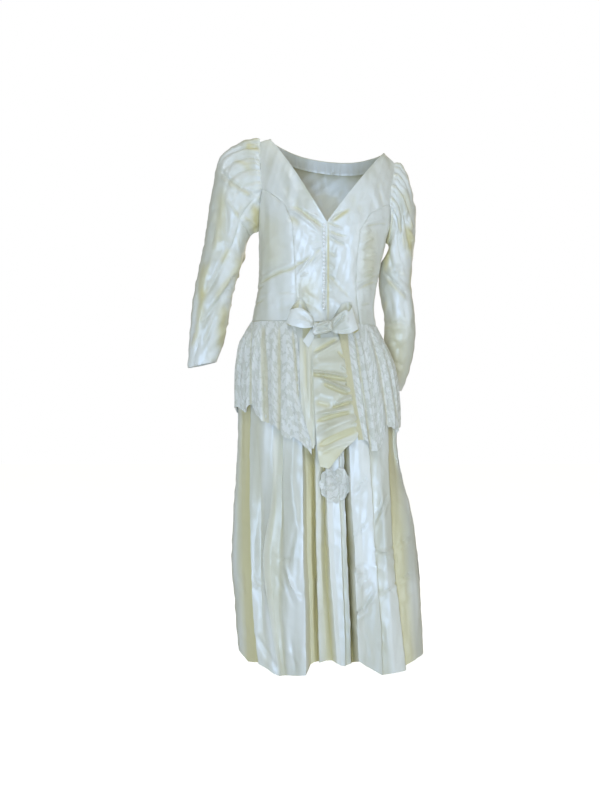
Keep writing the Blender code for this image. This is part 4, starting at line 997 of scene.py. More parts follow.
def sleeve(side, table, line, creases, painted_shades):
    """Sleeve gathered at its head and creased below, with painted shade in its troughs and listed places."""
    sign = SIGN[side]
    turns = np.linspace(-np.pi, np.pi, SLEEVE_COLUMNS, endpoint=False)
    steps = np.linspace(0, len(table), len(table) * SLEEVE_ROW_STEPS + 1)
    grid = sleeve_form(side, table, line, turns, steps)
    height = gathers(LEFT_GATHERS if sign < 0 else RIGHT_GATHERS, turns, steps)
    if sign > 0:
        grid, height = grid[:, ::-1], height[:, ::-1]
    normal = grid_normals(grid, closed=True)
    x, z = grid[..., 0], grid[..., 2]
    facing = ease((-normal[..., 1] + FACE_OVERLAP) / FACE_BLEND)
    behind = ease((normal[..., 1] + FACE_OVERLAP) / FACE_BLEND)
    settled = ease(steps / SETTLED_AFTER)[:, None]
    crumple = unrest(x, z, CRUMPLE_SIZE, SEEDS["sleeve_crumple"] + sign, SLEEVE_STRETCH, CRUMPLE_PINCH)
    height = height + creased(creases, x, z) * facing * settled
    height += BACK_SHARE * creased(creases, x, z + BACK_SHIFT) * behind * settled
    height += UNREST_RISE * LIVELY * unrest(x, z, UNREST_SIZE, SEEDS["sleeve"] + sign) * settled
    height += CRUMPLE_RISE * crumple * settled
    height += finished_edge(run_up(grid)[-1] - run_up(grid))
    return grid + normal * height[..., None], painted_shade_tint(height, painted_shades, x, z)


def gathers(table, turns, steps):
    """Height of the gathered folds round a sleeve head: deep at the armhole, fading down."""
    degrees = np.degrees(turns)[None, :]
    down = steps[:, None]
    begun = ease((down + GATHER_START[0]) / GATHER_START[1])
    height = np.zeros((len(steps), len(turns)))
    for gather in table:
        slide = GATHER_SLIDE * down * np.sign(gather.turn)
        fade = ease((gather.reach - down) / gather.reach * GATHER_FADE) * begun
        height += gather.rise * fade * np.exp(-((degrees - gather.turn - slide) / gather.width) ** 2)
    sink = GATHER_SINK * ease((SINK_REACH - down) / SINK_REACH)
    return height - sink * ease((down + SINK_START[0]) / SINK_START[1])


def waist_row(x):
    """Where a fold line of the upper skirt starts on the waist seam."""
    return WAIST_MIDDLE + (x - HIGH_MIDDLE) * WAIST_DRAW


def front_fold_lines():
    """Places, depths, hem lifts and painted golden shade of the front's fold lines at their levels."""
    values = np.array(SKIRT_FOLDS, float)
    x, inward, lift, painted_gold = values[:, :5], values[:, 5:10], values[:, 10], values[:, 11]
    high = x[:, 0]
    at_hip = HIP_MIDDLE + (high - HIGH_MIDDLE) * HIP_DRAW
    places = np.column_stack([waist_row(high), at_hip, (at_hip + high) / 2, x])
    depths = np.column_stack([inward[:, 0] * share for share in UPPER_DEPTHS] + [inward])
    return UPPER_LEVELS + FOLD_LEVELS, places, depths, lift, painted_gold


def back_fold_lines():
    """The same for the back, from folds with a flat bottom and two soft sides."""
    places, depths, painted_gold = [], [], []
    for fold in BACK_FOLDS:
        for side, share in FOLD_PROFILE:
            painted_gold.append(BACK_GOLD_SHADE * share)
            reach = side * fold.half
            places.append([fold.x_hip * WAIST_DRAW + BACK_WAIST_SHIFT + reach * WAIST_DRAW,
                           fold.x_hip + reach, fold.x_mid + reach, fold.x_hem + reach * BACK_HEM_SPREAD])
            depths.append([fold.d_top * share, fold.d_top * share, fold.d_mid * share, fold.d_hem * share])
    places = np.array(places)
    lift = np.interp(places[:, -1], BACK_LIFT_X, BACK_LIFT)
    return BACK_LEVELS, places, np.array(depths), lift, np.array(painted_gold)


def between_folds(x, inward, lift, painted_gold):
    """Columns from fold line to fold line: places, depths, hem lifts and painted shade."""
    columns = []
    for i in range(x.shape[1] - 1):
        gap = np.abs(x[:, i + 1] - x[:, i]).mean() + np.abs(inward[:, i + 1] - inward[:, i]).mean()
        count = max(2, int(round(gap / SKIRT_STEP)))
        for share in np.arange(count) / count:
            soft = share * (1 - FOLD_ROUNDING) + ease(share) * FOLD_ROUNDING
            columns.append((x[:, i] * (1 - share) + x[:, i + 1] * share,
                            inward[:, i] * (1 - soft) + inward[:, i + 1] * soft,
                            lift[i] * (1 - share) + lift[i + 1] * share,
                            painted_gold[i] * (1 - share) + painted_gold[i + 1] * share))
    columns.append((x[:, -1], inward[:, -1], lift[-1], 0))
    x, sunk, lifts, painted_golden = zip(*columns)
    return np.array(x).T, np.array(sunk).T, np.array(lifts)[None, :], np.array(painted_golden)


def skirt_form(lines, back, z):
    """Half of the skirt between its side seams, pleated: its points, depths and painted shade."""
    levels, places, depths, lift, painted_gold = lines
    at = -np.array(levels)
    x = smooth(at, places.T, -z)
    inward = smooth(at, depths.T, -z)
    left, right = read(BODY, "z", "left", z)[:, None], read(BODY, "z", "right", z)[:, None]
    x = np.concatenate([left, np.clip(x, left + SKIRT_EDGE, right - SKIRT_EDGE), right], axis=1)
    x = np.maximum.accumulate(x + np.arange(x.shape[1]) * SKIRT_APART, axis=1)
    flat = np.zeros((len(z), 1))
    inward = np.concatenate([flat, inward, flat], axis=1)
    lift = np.concatenate([lift[:1], lift, lift[-1:]])
    x, sunk, lifts, painted_golden = between_folds(x, inward, lift, np.concatenate([[0], painted_gold, [0]]))
    level = z[:, None]
    turn = angle_at(x, level, back)
    side = (-1 if back else 1) * SIDE_SEAM_HALF / SKIRT_HALF_WIDTH
    turn[:, 0] += side
    turn[:, -1] -= side
    grid = body(turn, level) - outward(turn, level) * sunk[..., None]
    grid[..., 2] += lifts * ease((LIFT_FROM - level) / (LIFT_FROM - HEM_Z)) ** LIFT_POWER
    return grid, sunk, painted_golden


def skirt(lines, back):
    """Half of the pleated skirt with its creases and the golden shade painted in its folds."""
    z = np.linspace(HEM_Z, SKIRT_TOP_Z, SKIRT_ROWS)
    grid, sunk, painted_golden = skirt_form(lines, back, z)
    x, y = grid[..., 0], grid[..., 2]
    proud = np.exp(-np.clip(sunk, 0, None) / CREASE_FADE)
    low = ease((WAIST_Z - SKIRT_CALM[0] - z) / SKIRT_CALM[1])[:, None]
    sway = unrest(x, y, SWAY_SIZE, SEEDS["skirt_back" if back else "skirt_front"], SWAY_STRETCH)
    crumple = unrest(x, y, SKIRT_CRUMPLE_SIZE, SEEDS["skirt"], SKIRT_STRETCH, CRUMPLE_PINCH)
    height = SKIRT_CREASE_DEPTH * creased(SKIRT_BACK_CREASES if back else SKIRT_CREASES, x, y) * proud
    height += SWAY_RISE * low * sway
    height += SKIRT_CRUMPLE_RISE * low * crumple
    if back:
        grid, height, painted_golden = grid[:, ::-1], height[:, ::-1], painted_golden[::-1]
    return raised(grid, height), painted_golden[None, :] * np.ones((len(z), 1))


def lace(turn_start, turn_stop, low, waves, seed):
    """Lace overskirt panel between two edges given as angles at each height."""
    share = np.linspace(0, 1, waves * LACE_STEPS + 1)
    wave = share * waves * np.pi
    low_z = read(low, "share", "z", share) + SCALLOP * np.abs(np.sin(wave)) - SCALLOP
    low_z += SMALL_SCALLOP * np.abs(np.sin(wave * SMALL_SCALLOPS))
    level = np.linspace(0, 1, LACE_ROWS)[:, None]
    z = LACE_TOP_Z + (low_z - LACE_TOP_Z) * level
    turn = turn_start(z) * (1 - share) + turn_stop(z) * share
    fall = np.clip(level / LACE_FALL, 0, 1)
    ripple = LACE_WAVE * (1 - np.cos(wave * 2 + LACE_PHASE)) * fall
    beat = wave * PLEAT_BEAT + PLEAT_DRIFT[0] * np.sin(share * PLEAT_DRIFT[1] + seed)
    strength = PLEAT_STRENGTH[0] + PLEAT_STRENGTH[1] * np.sin(share * PLEAT_STRENGTH[2] + seed)
    pleats = LACE_PLEAT * (1 - np.abs(np.sin(beat)) * PLEAT_SHARPNESS) * strength * fall
    along = share * waves * LACE_WAVE_WIDTH + 0 * z
    crumple = LACE_CRUMPLE * unrest(along, z, LACE_CRUMPLE_SIZE, seed, LACE_STRETCH) * fall
    place = body(turn, z)
    laid = creased(LACE_CREASES, place[..., 0], place[..., 2]) * ease(fall * 2) * (np.cos(turn) > 0)
    out = LACE_TOP_OUT + (LACE_OUT - LACE_TOP_OUT) * fall + ripple + pleats + crumple + laid
    out = np.maximum(out, LACE_TOP_OUT)
    # Painted shade in the troughs of the pleats and laid creases
    tint = LACE_TROUGH_SHADE * ease(-(laid + pleats) / LACE_TROUGH)
    return (place + outward(turn, z) * out[..., None])[::-1], tint[::-1]


def strip_points(table, rows, columns):
    """Places across a strip, and how far out they stand."""
    down = np.linspace(0, len(table) - 1, rows + 1)
    values = smooth(np.arange(len(table)), np.array(table, float), down)
    share = np.linspace(0, 1, columns + 1)
    x = values[:, 0:1] * (1 - share) + values[:, 2:3] * share
    z = values[:, 1:2] * (1 - share) + values[:, 3:4] * share
    return x, z, values[:, 4:5]


def laid_strip(table, size, creases, seed):
    """Cloth laid over the front of the skirt, following its form a little way out."""
    x, z, out = strip_points(table, *size)
    turn = angle_at(x, z)
    place = body(turn, z)
    height = LAID_DEPTH * creased(creases, place[..., 0], place[..., 2])
    swell = LAID_UNEVENNESS * unrest(place[..., 0], place[..., 2], LAID_UNREST_SIZE, seed)
    out = np.maximum(out + height + swell, LAID_CLEAR)
    return (place + outward(turn, z) * out[..., None])[::-1], painted_trough_shade(height)[::-1]


def lobed_places():
    """Rings of places that fill a motif with scalloped lobes and a notch in its upper edge."""
    turn = np.linspace(0, 2 * np.pi, APPLIQUE_POINTS, endpoint=False)[None, :]
    lobe = 1 - APPLIQUE_LOBE + APPLIQUE_LOBE * np.abs(np.sin(turn * APPLIQUE_LOBES / 2))
    lobe = lobe - APPLIQUE_NOTCH * np.exp(-((turn - np.pi / 2) / APPLIQUE_NOTCH_TURN) ** 2)
    share = np.linspace(1, APPLIQUE_HEART, APPLIQUE_RINGS)[:, None] * lobe
    x = APPLIQUE_MIDDLE[0] + APPLIQUE_HALF[0] * share * np.cos(turn)
    z = APPLIQUE_MIDDLE[1] + APPLIQUE_HALF[1] * share * np.sin(turn)
    return x, z


def front_surface(*pieces):
    """Finds the foremost outside point of some pieces at a place seen from the front."""
    trees = [BVHTree.FromObject(piece, bpy.context.evaluated_depsgraph_get()) for piece in pieces]

    def depth_at(x, z):
        hits = [tree.ray_cast(Vector((x * MM, -1, z * MM)), Vector((0, 1, 0)))[0] for tree in trees]
        found = [hit.y / MM for hit in hits if hit]
        return min(found) if found else None
    return depth_at


def bow_loop(table, creases, node):
    """One loop of the bow: a band out from behind the knot and back to it in front."""
    station = np.linspace(0, len(table) - 1, BOW_COLUMNS)[:, None]
    values = smooth(np.arange(len(table)), np.array(table, float), station[:, 0])
    low_x, low_z, high_x, high_z, behind = values.T[..., None]
    rise = np.linspace(0, 1, BOW_ROWS)[None, :]
    x = low_x * (1 - rise) + high_x * rise
    z = low_z * (1 - rise) + high_z * rise
    front = np.sign((len(table) - 1) / 2 - station)
    out = np.sin(np.pi * station / (len(table) - 1))
    y = behind + front * BOW_BELLY * out * np.sin(np.pi * rise)
    y += BOW_EDGE_LIP * np.exp(-((1 - rise) / BOW_LIP_SHARE) ** 2) * -front
    near = np.exp(-(out / BOW_PINCH_SHARE) ** 2)
    y += front * near * BOW_PINCH * np.sin(rise * np.pi * BOW_PINCH_WAVE[0] + BOW_PINCH_WAVE[1])
    y = y - creased(creases, x, z) * ease((station - len(table) / 2) / BOW_FRONT_BLEND)
    grid = np.stack([x, y, z], axis=-1)
    low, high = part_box(node)
    grid[..., 1] += (low[1] + high[1]) / 2 / MM
    # Painted golden shade inside the loop, lifted near its upper edge
    inside = ease((len(table) / 2 - station) / BOW_INSIDE_BLEND) * ease(np.minimum(station, 3) / 2)
    return grid, inside * (1 - BOW_SHADE_EDGE_LIFT * rise ** 4)


def knot_grid():
    """Soft squared knot with folds that wrap over it."""
    around = np.linspace(0, 2 * np.pi, KNOT_COLUMNS, endpoint=False)[None, :]
    up = np.linspace(-np.pi / 2 + KNOT_END, np.pi / 2 - KNOT_END, KNOT_ROWS)[:, None]
    level = np.cos(up)
    ball = np.stack([level * np.sin(around), -level * np.cos(around), np.sin(up) + 0 * around], -1)
    soft = np.sign(ball) * np.abs(ball) ** KNOT_SQUARENESS * np.array(KNOT_HALF)
    low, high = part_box("bow_knot")
    soft[..., 2] += KNOT_SLANT * soft[..., 0]
    grid = soft + np.array([KNOT_X, (low[1] + high[1]) / 2 / MM, KNOT_Z])
    x, z = grid[..., 0], grid[..., 2]
    wraps = KNOT_WRAP * np.sin(x * KNOT_WRAP_WAVE[0] + z * KNOT_WRAP_WAVE[1]) * level
    grid[..., 1] -= creased(KNOT_CREASES, x, z) * (ball[..., 1] < 0) * level
    return raised(grid, wraps, closed=True)


def linear(colour):
    """Scene colour of an sRGB hex value such as E8E6DC."""
    parts = [int(colour[i:i + 2], 16) / 255 for i in (0, 2, 4)]
    return tuple(p / 12.92 if p <= 0.04045 else ((p + 0.055) / 1.055) ** 2.4 for p in parts) + (1.0,)


def add_node(tree, kind, settings=(), values=(), links=()):
    """Adds a node with its own settings, its sockets' values, and links from other sockets."""
    node = tree.nodes.new(kind)
    for name, value in dict(settings).items():
        setattr(node, name, value)
    for name, given in list(dict(values).items()) + list(dict(links).items()):
        if isinstance(given, bpy.types.NodeSocket):
            tree.links.new(given, node.inputs[name])
        else:
            node.inputs[name].default_value = given
    return node


def new_material(name, values):
    """Material with one shader whose plain numbers sit on its own sockets."""
    made = bpy.data.materials.new(name)
    made.use_nodes = True
    tree = made.node_tree
    tree.nodes.clear()
    shader = add_node(tree, "ShaderNodeBsdfPrincipled", values=values)
    add_node(tree, "ShaderNodeOutputMaterial", links={"Surface": shader.outputs["BSDF"]})
    return made, tree, shader


def satin(name, fresh, worn):
    """Heavy woven duchess satin, aged ivory: a broad soft gloss, with golden shade painted deep in its folds.
    """
    made, tree, shader = new_material(name, {
        "Roughness": 0.36, "Specular IOR Level": 0.9, "Sheen Weight": 0.05, "Sheen Roughness": 0.4})
    place = add_node(tree, "ShaderNodeTexCoord").outputs["Object"]
    # The fold attribute says how far the colour is mixed towards the painted golden shade.
    depth = add_node(tree, "ShaderNodeAttribute", {"attribute_name": "fold"}).outputs["Fac"]
    hung = add_node(tree, "ShaderNodeMapping", values={"Scale": (1.5, 1.5, 0.28)}, links={"Vector": place})
    patches = add_node(tree, "ShaderNodeTexNoise", values={"Scale": 1000 / PATCH_SIZE, "Detail": 2.0},
                       links={"Vector": hung.outputs["Vector"]}).outputs["Fac"]
    age = add_node(tree, "ShaderNodeMapRange", {"interpolation_type": "SMOOTHSTEP"},
                   {"From Min": 0.44, "From Max": 0.58, "Value": patches}).outputs["Result"]
    aged = add_node(tree, "ShaderNodeMix", {"data_type": "RGBA"},
                    {0: age, 6: linear(fresh), 7: linear(worn)}).outputs[2]
    shaded_ivory = add_node(tree, "ShaderNodeMix", {"data_type": "RGBA"},
                    {0: depth, 6: aged, 7: linear(IVORY_PAINTED_SHADE)}).outputs[2]
    tree.links.new(shaded_ivory, shader.inputs["Base Color"])
    squeezed = add_node(tree, "ShaderNodeMapping", values={"Scale": (1, 1, 0.25)}, links={"Vector": place})
    threads = add_node(tree, "ShaderNodeTexNoise", values={"Scale": 1000 / THREAD_SIZE, "Detail": 1.0},
                       links={"Vector": squeezed.outputs["Vector"]}).outputs["Fac"]
    crush = add_node(tree, "ShaderNodeTexNoise", values={"Scale": 1000 / CRUSH_SIZE, "Detail": 3.0},
                     links={"Vector": place}).outputs["Fac"]
    soft = add_node(tree, "ShaderNodeBump", values={"Strength": 0.4, "Distance": CRUSH_RISE * MM},
                    links={"Height": crush})
    fine = add_node(tree, "ShaderNodeBump", values={"Strength": 0.15, "Distance": THREAD_RISE * MM},
                    links={"Height": threads, "Normal": soft.outputs["Normal"]})
    tree.links.new(fine.outputs["Normal"], shader.inputs["Normal"])
    return made


def flowers(tree, place, size, shift):
    """Scattered lace flowers with five round petals: their cloth, and their raised outline."""
    moved = add_node(tree, "ShaderNodeMapping", values={"Location": (shift, shift * 0.7, 0)},
                     links={"Vector": place}).outputs["Vector"]
    cells = add_node(tree, "ShaderNodeTexVoronoi", {"voronoi_dimensions": "2D"},
                     {"Scale": 1000 / size, "Randomness": 0.6}, {"Vector": moved})
    offset = add_node(tree, "ShaderNodeVectorMath", {"operation": "SUBTRACT"},
                      {0: moved, 1: cells.outputs["Position"]}).outputs["Vector"]
    parts = add_node(tree, "ShaderNodeSeparateXYZ", links={"Vector": offset})
    angle = add_node(tree, "ShaderNodeMath", {"operation": "ARCTAN2"},
                     {0: parts.outputs["Y"], 1: parts.outputs["X"]}).outputs[0]
    chance = add_node(tree, "ShaderNodeSeparateColor", links={"Color": cells.outputs["Color"]})
    turned = add_node(tree, "ShaderNodeMath", {"operation": "MULTIPLY_ADD"},
                      {0: angle, 1: PETALS / 2, 2: chance.outputs["Red"]}).outputs[0]
    wave = add_node(tree, "ShaderNodeMath", {"operation": "COSINE"}, {0: turned}).outputs[0]
    lobe = add_node(tree, "ShaderNodeMath", {"operation": "ABSOLUTE"}, {0: wave}).outputs[0]
    reach = add_node(tree, "ShaderNodeMath", {"operation": "MULTIPLY_ADD"},
                     {0: lobe, 1: PETAL_LOBE, 2: PETAL_REACH}).outputs[0]
    length = add_node(tree, "ShaderNodeVectorMath", {"operation": "LENGTH"}, {0: offset}).outputs["Value"]
    inside = add_node(tree, "ShaderNodeMath", {"operation": "MULTIPLY_ADD"},
                      {0: length, 1: -1000 / size, 2: reach}).outputs[0]
    petal = add_node(tree, "ShaderNodeMapRange", {"interpolation_type": "SMOOTHSTEP"},
                     {"From Min": 0.0, "From Max": 0.03, "Value": inside}).outputs["Result"]
    within = add_node(tree, "ShaderNodeMapRange", {"interpolation_type": "SMOOTHSTEP"},
                      {"From Min": 0.05, "From Max": 0.09, "Value": inside}).outputs["Result"]
    outline = add_node(tree, "ShaderNodeMath", {"operation": "SUBTRACT"}, {0: petal, 1: within}).outputs[0]
    heart = add_node(tree, "ShaderNodeMapRange", {"interpolation_type": "SMOOTHSTEP"},
                     {"From Min": 0.30, "From Max": 0.34, "Value": inside}).outputs["Result"]
    raised_part = add_node(tree, "ShaderNodeMath", {"operation": "MAXIMUM"},
                           {0: outline, 1: heart}).outputs[0]
    return petal, raised_part


def lace_cloth():
    """Cotton lace, matt: flowers with raised cords on a fine net that lets its ground show."""
    made, tree, shader = new_material("cotton_lace", {
        "Roughness": 0.62, "Specular IOR Level": 0.4, "Sheen Weight": 0.3, "Sheen Roughness": 0.5})
    place = add_node(tree, "ShaderNodeUVMap", {"uv_map": "cloth"}).outputs["UV"]
    # The fold attribute mixes in painted trough shade and the band along the right panel's front edge.
    shade_and_edge = add_node(tree, "ShaderNodeAttribute", {"attribute_name": "fold"}).outputs["Fac"]
    large, large_cord = flowers(tree, place, FLOWER_SIZE, FLOWER_SHIFT)
    small, small_cord = flowers(tree, place, BUD_SIZE, BUD_SHIFT)
    flower = add_node(tree, "ShaderNodeMath", {"operation": "MAXIMUM"}, {0: large, 1: small}).outputs[0]
    cord = add_node(tree, "ShaderNodeMath", {"operation": "MAXIMUM"},
                    {0: large_cord, 1: small_cord}).outputs[0]
    mesh = add_node(tree, "ShaderNodeTexVoronoi", {"voronoi_dimensions": "2D", "feature": "DISTANCE_TO_EDGE"},
                    {"Scale": 1000 / NET_SIZE, "Randomness": 0.25}, {"Vector": place}).outputs["Distance"]
    thread = add_node(tree, "ShaderNodeMapRange", {"interpolation_type": "SMOOTHSTEP"},
                      {"From Min": 0.2, "From Max": 0.06, "To Max": 0.75, "Value": mesh}).outputs["Result"]
    ground = add_node(tree, "ShaderNodeMath", {"operation": "MAXIMUM"}, {0: flower, 1: thread}).outputs[0]
    full = add_node(tree, "ShaderNodeMath", {"operation": "MAXIMUM"}, {0: ground, 1: cord}).outputs[0]
    worn = add_node(tree, "ShaderNodeMix", {"data_type": "RGBA"},
                    {0: full, 6: linear(LACE_GAP), 7: linear(LACE_THREAD)}).outputs[2]
    shaded_lace = add_node(tree, "ShaderNodeMix", {"data_type": "RGBA"},
                      {0: shade_and_edge, 6: worn, 7: linear(LACE_SHADE_AND_EDGE)}).outputs[2]
    tree.links.new(shaded_lace, shader.inputs["Base Color"])
    height = add_node(tree, "ShaderNodeMath", {"operation": "MULTIPLY_ADD"},
                      {0: cord, 1: CORD_RISE, 2: full}).outputs[0]
    bump = add_node(tree, "ShaderNodeBump", values={"Strength": 0.7, "Distance": LACE_RISE * MM},
                    links={"Height": height})
    tree.links.new(bump.outputs["Normal"], shader.inputs["Normal"])
    return made


def pearl():
    """Small glass pearls: smooth, with a soft cream lustre."""
    made, tree, shader = new_material("glass_pearl", {
        "Roughness": 0.18, "Specular IOR Level": 0.6, "Coat Weight": 0.5, "Coat Roughness": 0.1})
    place = add_node(tree, "ShaderNodeTexCoord").outputs["Object"]
    tint = add_node(tree, "ShaderNodeTexNoise", values={"Scale": 1000 / PEARL_TINT_SIZE},
                    links={"Vector": place}).outputs["Fac"]
    lustre = add_node(tree, "ShaderNodeMix", {"data_type": "RGBA"},
                      {0: tint, 6: linear(PEARL_CREAM), 7: linear(PEARL_ROSE)}).outputs[2]
    tree.links.new(lustre, shader.inputs["Base Color"])
    return made


def studio_white():
    """Matt white painted studio floor, bright enough to melt into the background."""
    made, tree, shader = new_material("studio_white", {"Roughness": 0.9, "Emission Color": (1, 1, 1, 1)})
    seen = add_node(tree, "ShaderNodeLightPath").outputs["Is Camera Ray"]
    glow = add_node(tree, "ShaderNodeMath", {"operation": "MULTIPLY"}, {0: seen, 1: FLOOR_GLOW}).outputs[0]
    tree.links.new(glow, shader.inputs["Emission Strength"])
    place = add_node(tree, "ShaderNodeTexCoord").outputs["Object"]
    grain = add_node(tree, "ShaderNodeTexNoise", values={"Scale": FLOOR_GRAIN},
                     links={"Vector": place}).outputs["Fac"]
    paint = add_node(tree, "ShaderNodeMix", {"data_type": "RGBA"},
                     {0: grain, 6: linear(FLOOR_WHITES[0]), 7: linear(FLOOR_WHITES[1])}).outputs[2]
    tree.links.new(paint, shader.inputs["Base Color"])
    return made


def cloth(name, grid, finish, closed=False, fold=None, wall=SATIN_WALL):
    """Thin shell through a grid of points, its wall behind them, laid out flat in its UV map."""
    rows, columns = grid.shape[:2]
    around = columns if closed else columns - 1
    r, c = np.meshgrid(np.arange(rows - 1), np.arange(around), indexing="ij")
    after = (c + 1) % columns
    corners = np.stack([r * columns + c, r * columns + after,
                        (r + 1) * columns + after, (r + 1) * columns + c], -1).reshape(-1, 4)
    mesh = bpy.data.meshes.new(name)
    mesh.from_pydata((grid.reshape(-1, 3) * MM).tolist(), [], corners.tolist())
    across, up = run_across(grid) * MM, run_up(grid) * MM
    across = across - across.mean(axis=1, keepdims=True)
    flat = np.stack([across, up], -1).reshape(-1, 2)
    mesh.uv_layers.new(name="cloth").data.foreach_set("uv", flat[corners.reshape(-1)].reshape(-1))
    # The fold attribute holds painted shade, and on the right lace panel also its beige front-edge band.
    shade = np.zeros(rows * columns) if fold is None else np.clip(fold, 0, 1).reshape(-1)
    mesh.attributes.new("fold", "FLOAT", "POINT").data.foreach_set("value", shade)
    mesh.shade_smooth()
    made = bpy.data.objects.new(name, mesh)
    mesh.materials.append(finish)
    bpy.context.scene.collection.objects.link(made)
    solid = made.modifiers.new("Wall", "SOLIDIFY")
    solid.thickness = wall * MM
    solid.offset = -1
    settle(made)
    made.data.set_sharp_from_angle(angle=np.radians(SHARP_ANGLE))
    return made


def settle(piece):
    """Turns a piece's modifiers into a plain mesh."""
    shown = piece.evaluated_get(bpy.context.evaluated_depsgraph_get())
    plain = bpy.data.meshes.new_from_object(shown, preserve_all_data_layers=True,
                                            depsgraph=bpy.context.evaluated_depsgraph_get())
    piece.modifiers.clear()
    piece.data = plain


def stand_in(made, node):
    """Lets a piece take the place of its solid, on the dress's one body."""
    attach(made, "root")
    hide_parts(node)


def add_sheet(node, grid, finish, closed=False, fold=None, wall=SATIN_WALL):
    """A cloth that stands for a soft solid; the size it was cut to is worked out but not used."""
    made = cloth(node + "_cloth", grid, finish, closed, fold, wall)
    stand_in(made, node)
    whole = np.concatenate([grid, grid[:, :1]], axis=1) if closed else grid
    width = run_across(whole)[:, -1].max() * MM
    length = run_up(whole)[-1].max() * MM
    one, two = whole[1:, 1:] - whole[:-1, :-1], whole[1:, :-1] - whole[:-1, 1:]
    area = np.linalg.norm(np.cross(one, two), axis=-1).sum() / 2 * MM * MM
    area = float(np.clip(area, LEAST_AREA_SHARE * width * length, width * length))
    return made


def node_group(name, inputs):
    """Empty geometry tree with named number inputs."""
    tree = bpy.data.node_groups.new(name, "GeometryNodeTree")
    tree.interface.new_socket("Geometry", in_out="INPUT", socket_type="NodeSocketGeometry")
    for label in inputs:
        tree.interface.new_socket(label, in_out="INPUT", socket_type="NodeSocketFloat")
    tree.interface.new_socket("Geometry", in_out="OUTPUT", socket_type="NodeSocketGeometry")
    return tree, add_node(tree, "NodeGroupInput").outputs


def finish_group(tree, shape, finish):
    """Ends a tree in real geometry with its material, shaded smooth."""
    real = add_node(tree, "GeometryNodeRealizeInstances", links={"Geometry": shape})
    smoothed = add_node(tree, "GeometryNodeSetShadeSmooth", links={"Geometry": real.outputs["Geometry"]})
    coloured = add_node(tree, "GeometryNodeSetMaterial", values={"Material": finish},
                        links={"Geometry": smoothed.outputs["Geometry"]})
    add_node(tree, "NodeGroupOutput", links={"Geometry": coloured.outputs["Geometry"]})


def grown(name, points, tree, sizes, finish):
    """Object made by a geometry tree on points, or on a cloth's mesh, as a plain mesh."""
    if isinstance(points, bpy.types.Mesh):
        mesh = points.copy()
    else:
        mesh = bpy.data.meshes.new(name)
        mesh.from_pydata([tuple(point) for point in points], [], [])
    made = bpy.data.objects.new(name, mesh)
    bpy.context.scene.collection.objects.link(made)
    modifier = made.modifiers.new("Pattern", "NODES")
    modifier.node_group = tree
    for socket in tree.interface.items_tree:
        if socket.name in sizes:
            modifier[socket.identifier] = sizes[socket.name]
    settle(made)
    made.data.materials.clear()
    made.data.materials.append(finish)
    return made


def button_tree(finish):
    """A satin-covered dome on each point."""
    tree, given = node_group("covered_buttons", ("Radius", "Dome"))
    ball = add_node(tree, "GeometryNodeMeshUVSphere", values={"Segments": 18, "Rings": 10},
                    links={"Radius": given["Radius"]})
    ratio = add_node(tree, "ShaderNodeMath", {"operation": "DIVIDE"}, {},
                     {0: given["Dome"], 1: given["Radius"]})
    size = add_node(tree, "ShaderNodeCombineXYZ", values={"X": 1.0, "Z": 1.0}, links={"Y": ratio.outputs[0]})
    dome = add_node(tree, "GeometryNodeTransform",
                    links={"Geometry": ball.outputs["Mesh"], "Scale": size.outputs["Vector"]})
    set_on = add_node(tree, "GeometryNodeInstanceOnPoints",
                      links={"Points": given["Geometry"], "Instance": dome.outputs["Geometry"]})
    finish_group(tree, set_on.outputs["Instances"], finish)
    return tree


def loop_tree(finish):
    """A thin cord loop beside each point, to go over its button."""
    tree, given = node_group("button_loops", ("Reach", "Wire"))
    arc = add_node(tree, "GeometryNodeCurveArc", values={"Resolution": 12, "Start Angle": np.radians(100),
                                                         "Sweep Angle": np.radians(160)},
                   links={"Radius": given["Reach"]})
    upright = add_node(tree, "GeometryNodeTransform", values={"Rotation": (np.pi / 2, 0, 0)},
                       links={"Geometry": arc.outputs["Curve"]})
    round_cord = add_node(tree, "GeometryNodeCurvePrimitiveCircle", values={"Resolution": 6},
                          links={"Radius": given["Wire"]})
    cord = add_node(tree, "GeometryNodeCurveToMesh", links={"Curve": upright.outputs["Geometry"],
                                                            "Profile Curve": round_cord.outputs["Curve"]})
    set_on = add_node(tree, "GeometryNodeInstanceOnPoints",
                      links={"Points": given["Geometry"], "Instance": cord.outputs["Mesh"]})
    finish_group(tree, set_on.outputs["Instances"], finish)
    return tree


def bead_tree(finish):
    """Small pearls scattered over a cloth."""
    tree, given = node_group("sewn_pearls", ("Radius", "Density"))
    points = add_node(tree, "GeometryNodeDistributePointsOnFaces", {"distribute_method": "RANDOM"},
                      {"Seed": SEEDS["pearls"]}, {"Mesh": given["Geometry"], "Density": given["Density"]})
    bead = add_node(tree, "GeometryNodeMeshIcoSphere", values={"Subdivisions": 2},
                    links={"Radius": given["Radius"]})
    set_on = add_node(tree, "GeometryNodeInstanceOnPoints",
                      links={"Points": points.outputs["Points"], "Instance": bead.outputs["Mesh"]})
    finish_group(tree, set_on.outputs["Instances"], finish)
    return tree


def build_bodice(finish):
    """Panels of the bodice, the facing behind the neck, and the sleeves from their armholes."""
    grids = {}
    plain = {}
    for side in ("left", "right"):
        plain[side] = [centre_front(side), side_panel(side, back=False), side_panel(side, back=True)]
        grids["centre_front_" + side] = front_panel(side)
        grids["side_front_" + side] = dressed_side(side, back=False)
        grids["side_back_" + side] = dressed_side(side, back=True)
    back = centre_back()
    grids["centre_back"] = dressed_back()
    for node, (grid, tint) in grids.items():
        add_sheet(node, grid, finish, fold=tint)
    band, tint = neck_facing(back)
    add_sheet("back_neck_facing", band, finish, fold=tint)
    for side, table, creases, painted_shades in (
            ("left", LEFT_SLEEVE, LEFT_SLEEVE_CREASES, LEFT_SLEEVE_PAINTED_SHADE),
            ("right", RIGHT_SLEEVE, RIGHT_SLEEVE_CREASES, RIGHT_SLEEVE_PAINTED_SHADE)):
        grid, tint = sleeve(side, table, armhole(side, plain[side] + [back]), creases, painted_shades)
        add_sheet("sleeve_" + side, grid, finish, closed=True, fold=tint)


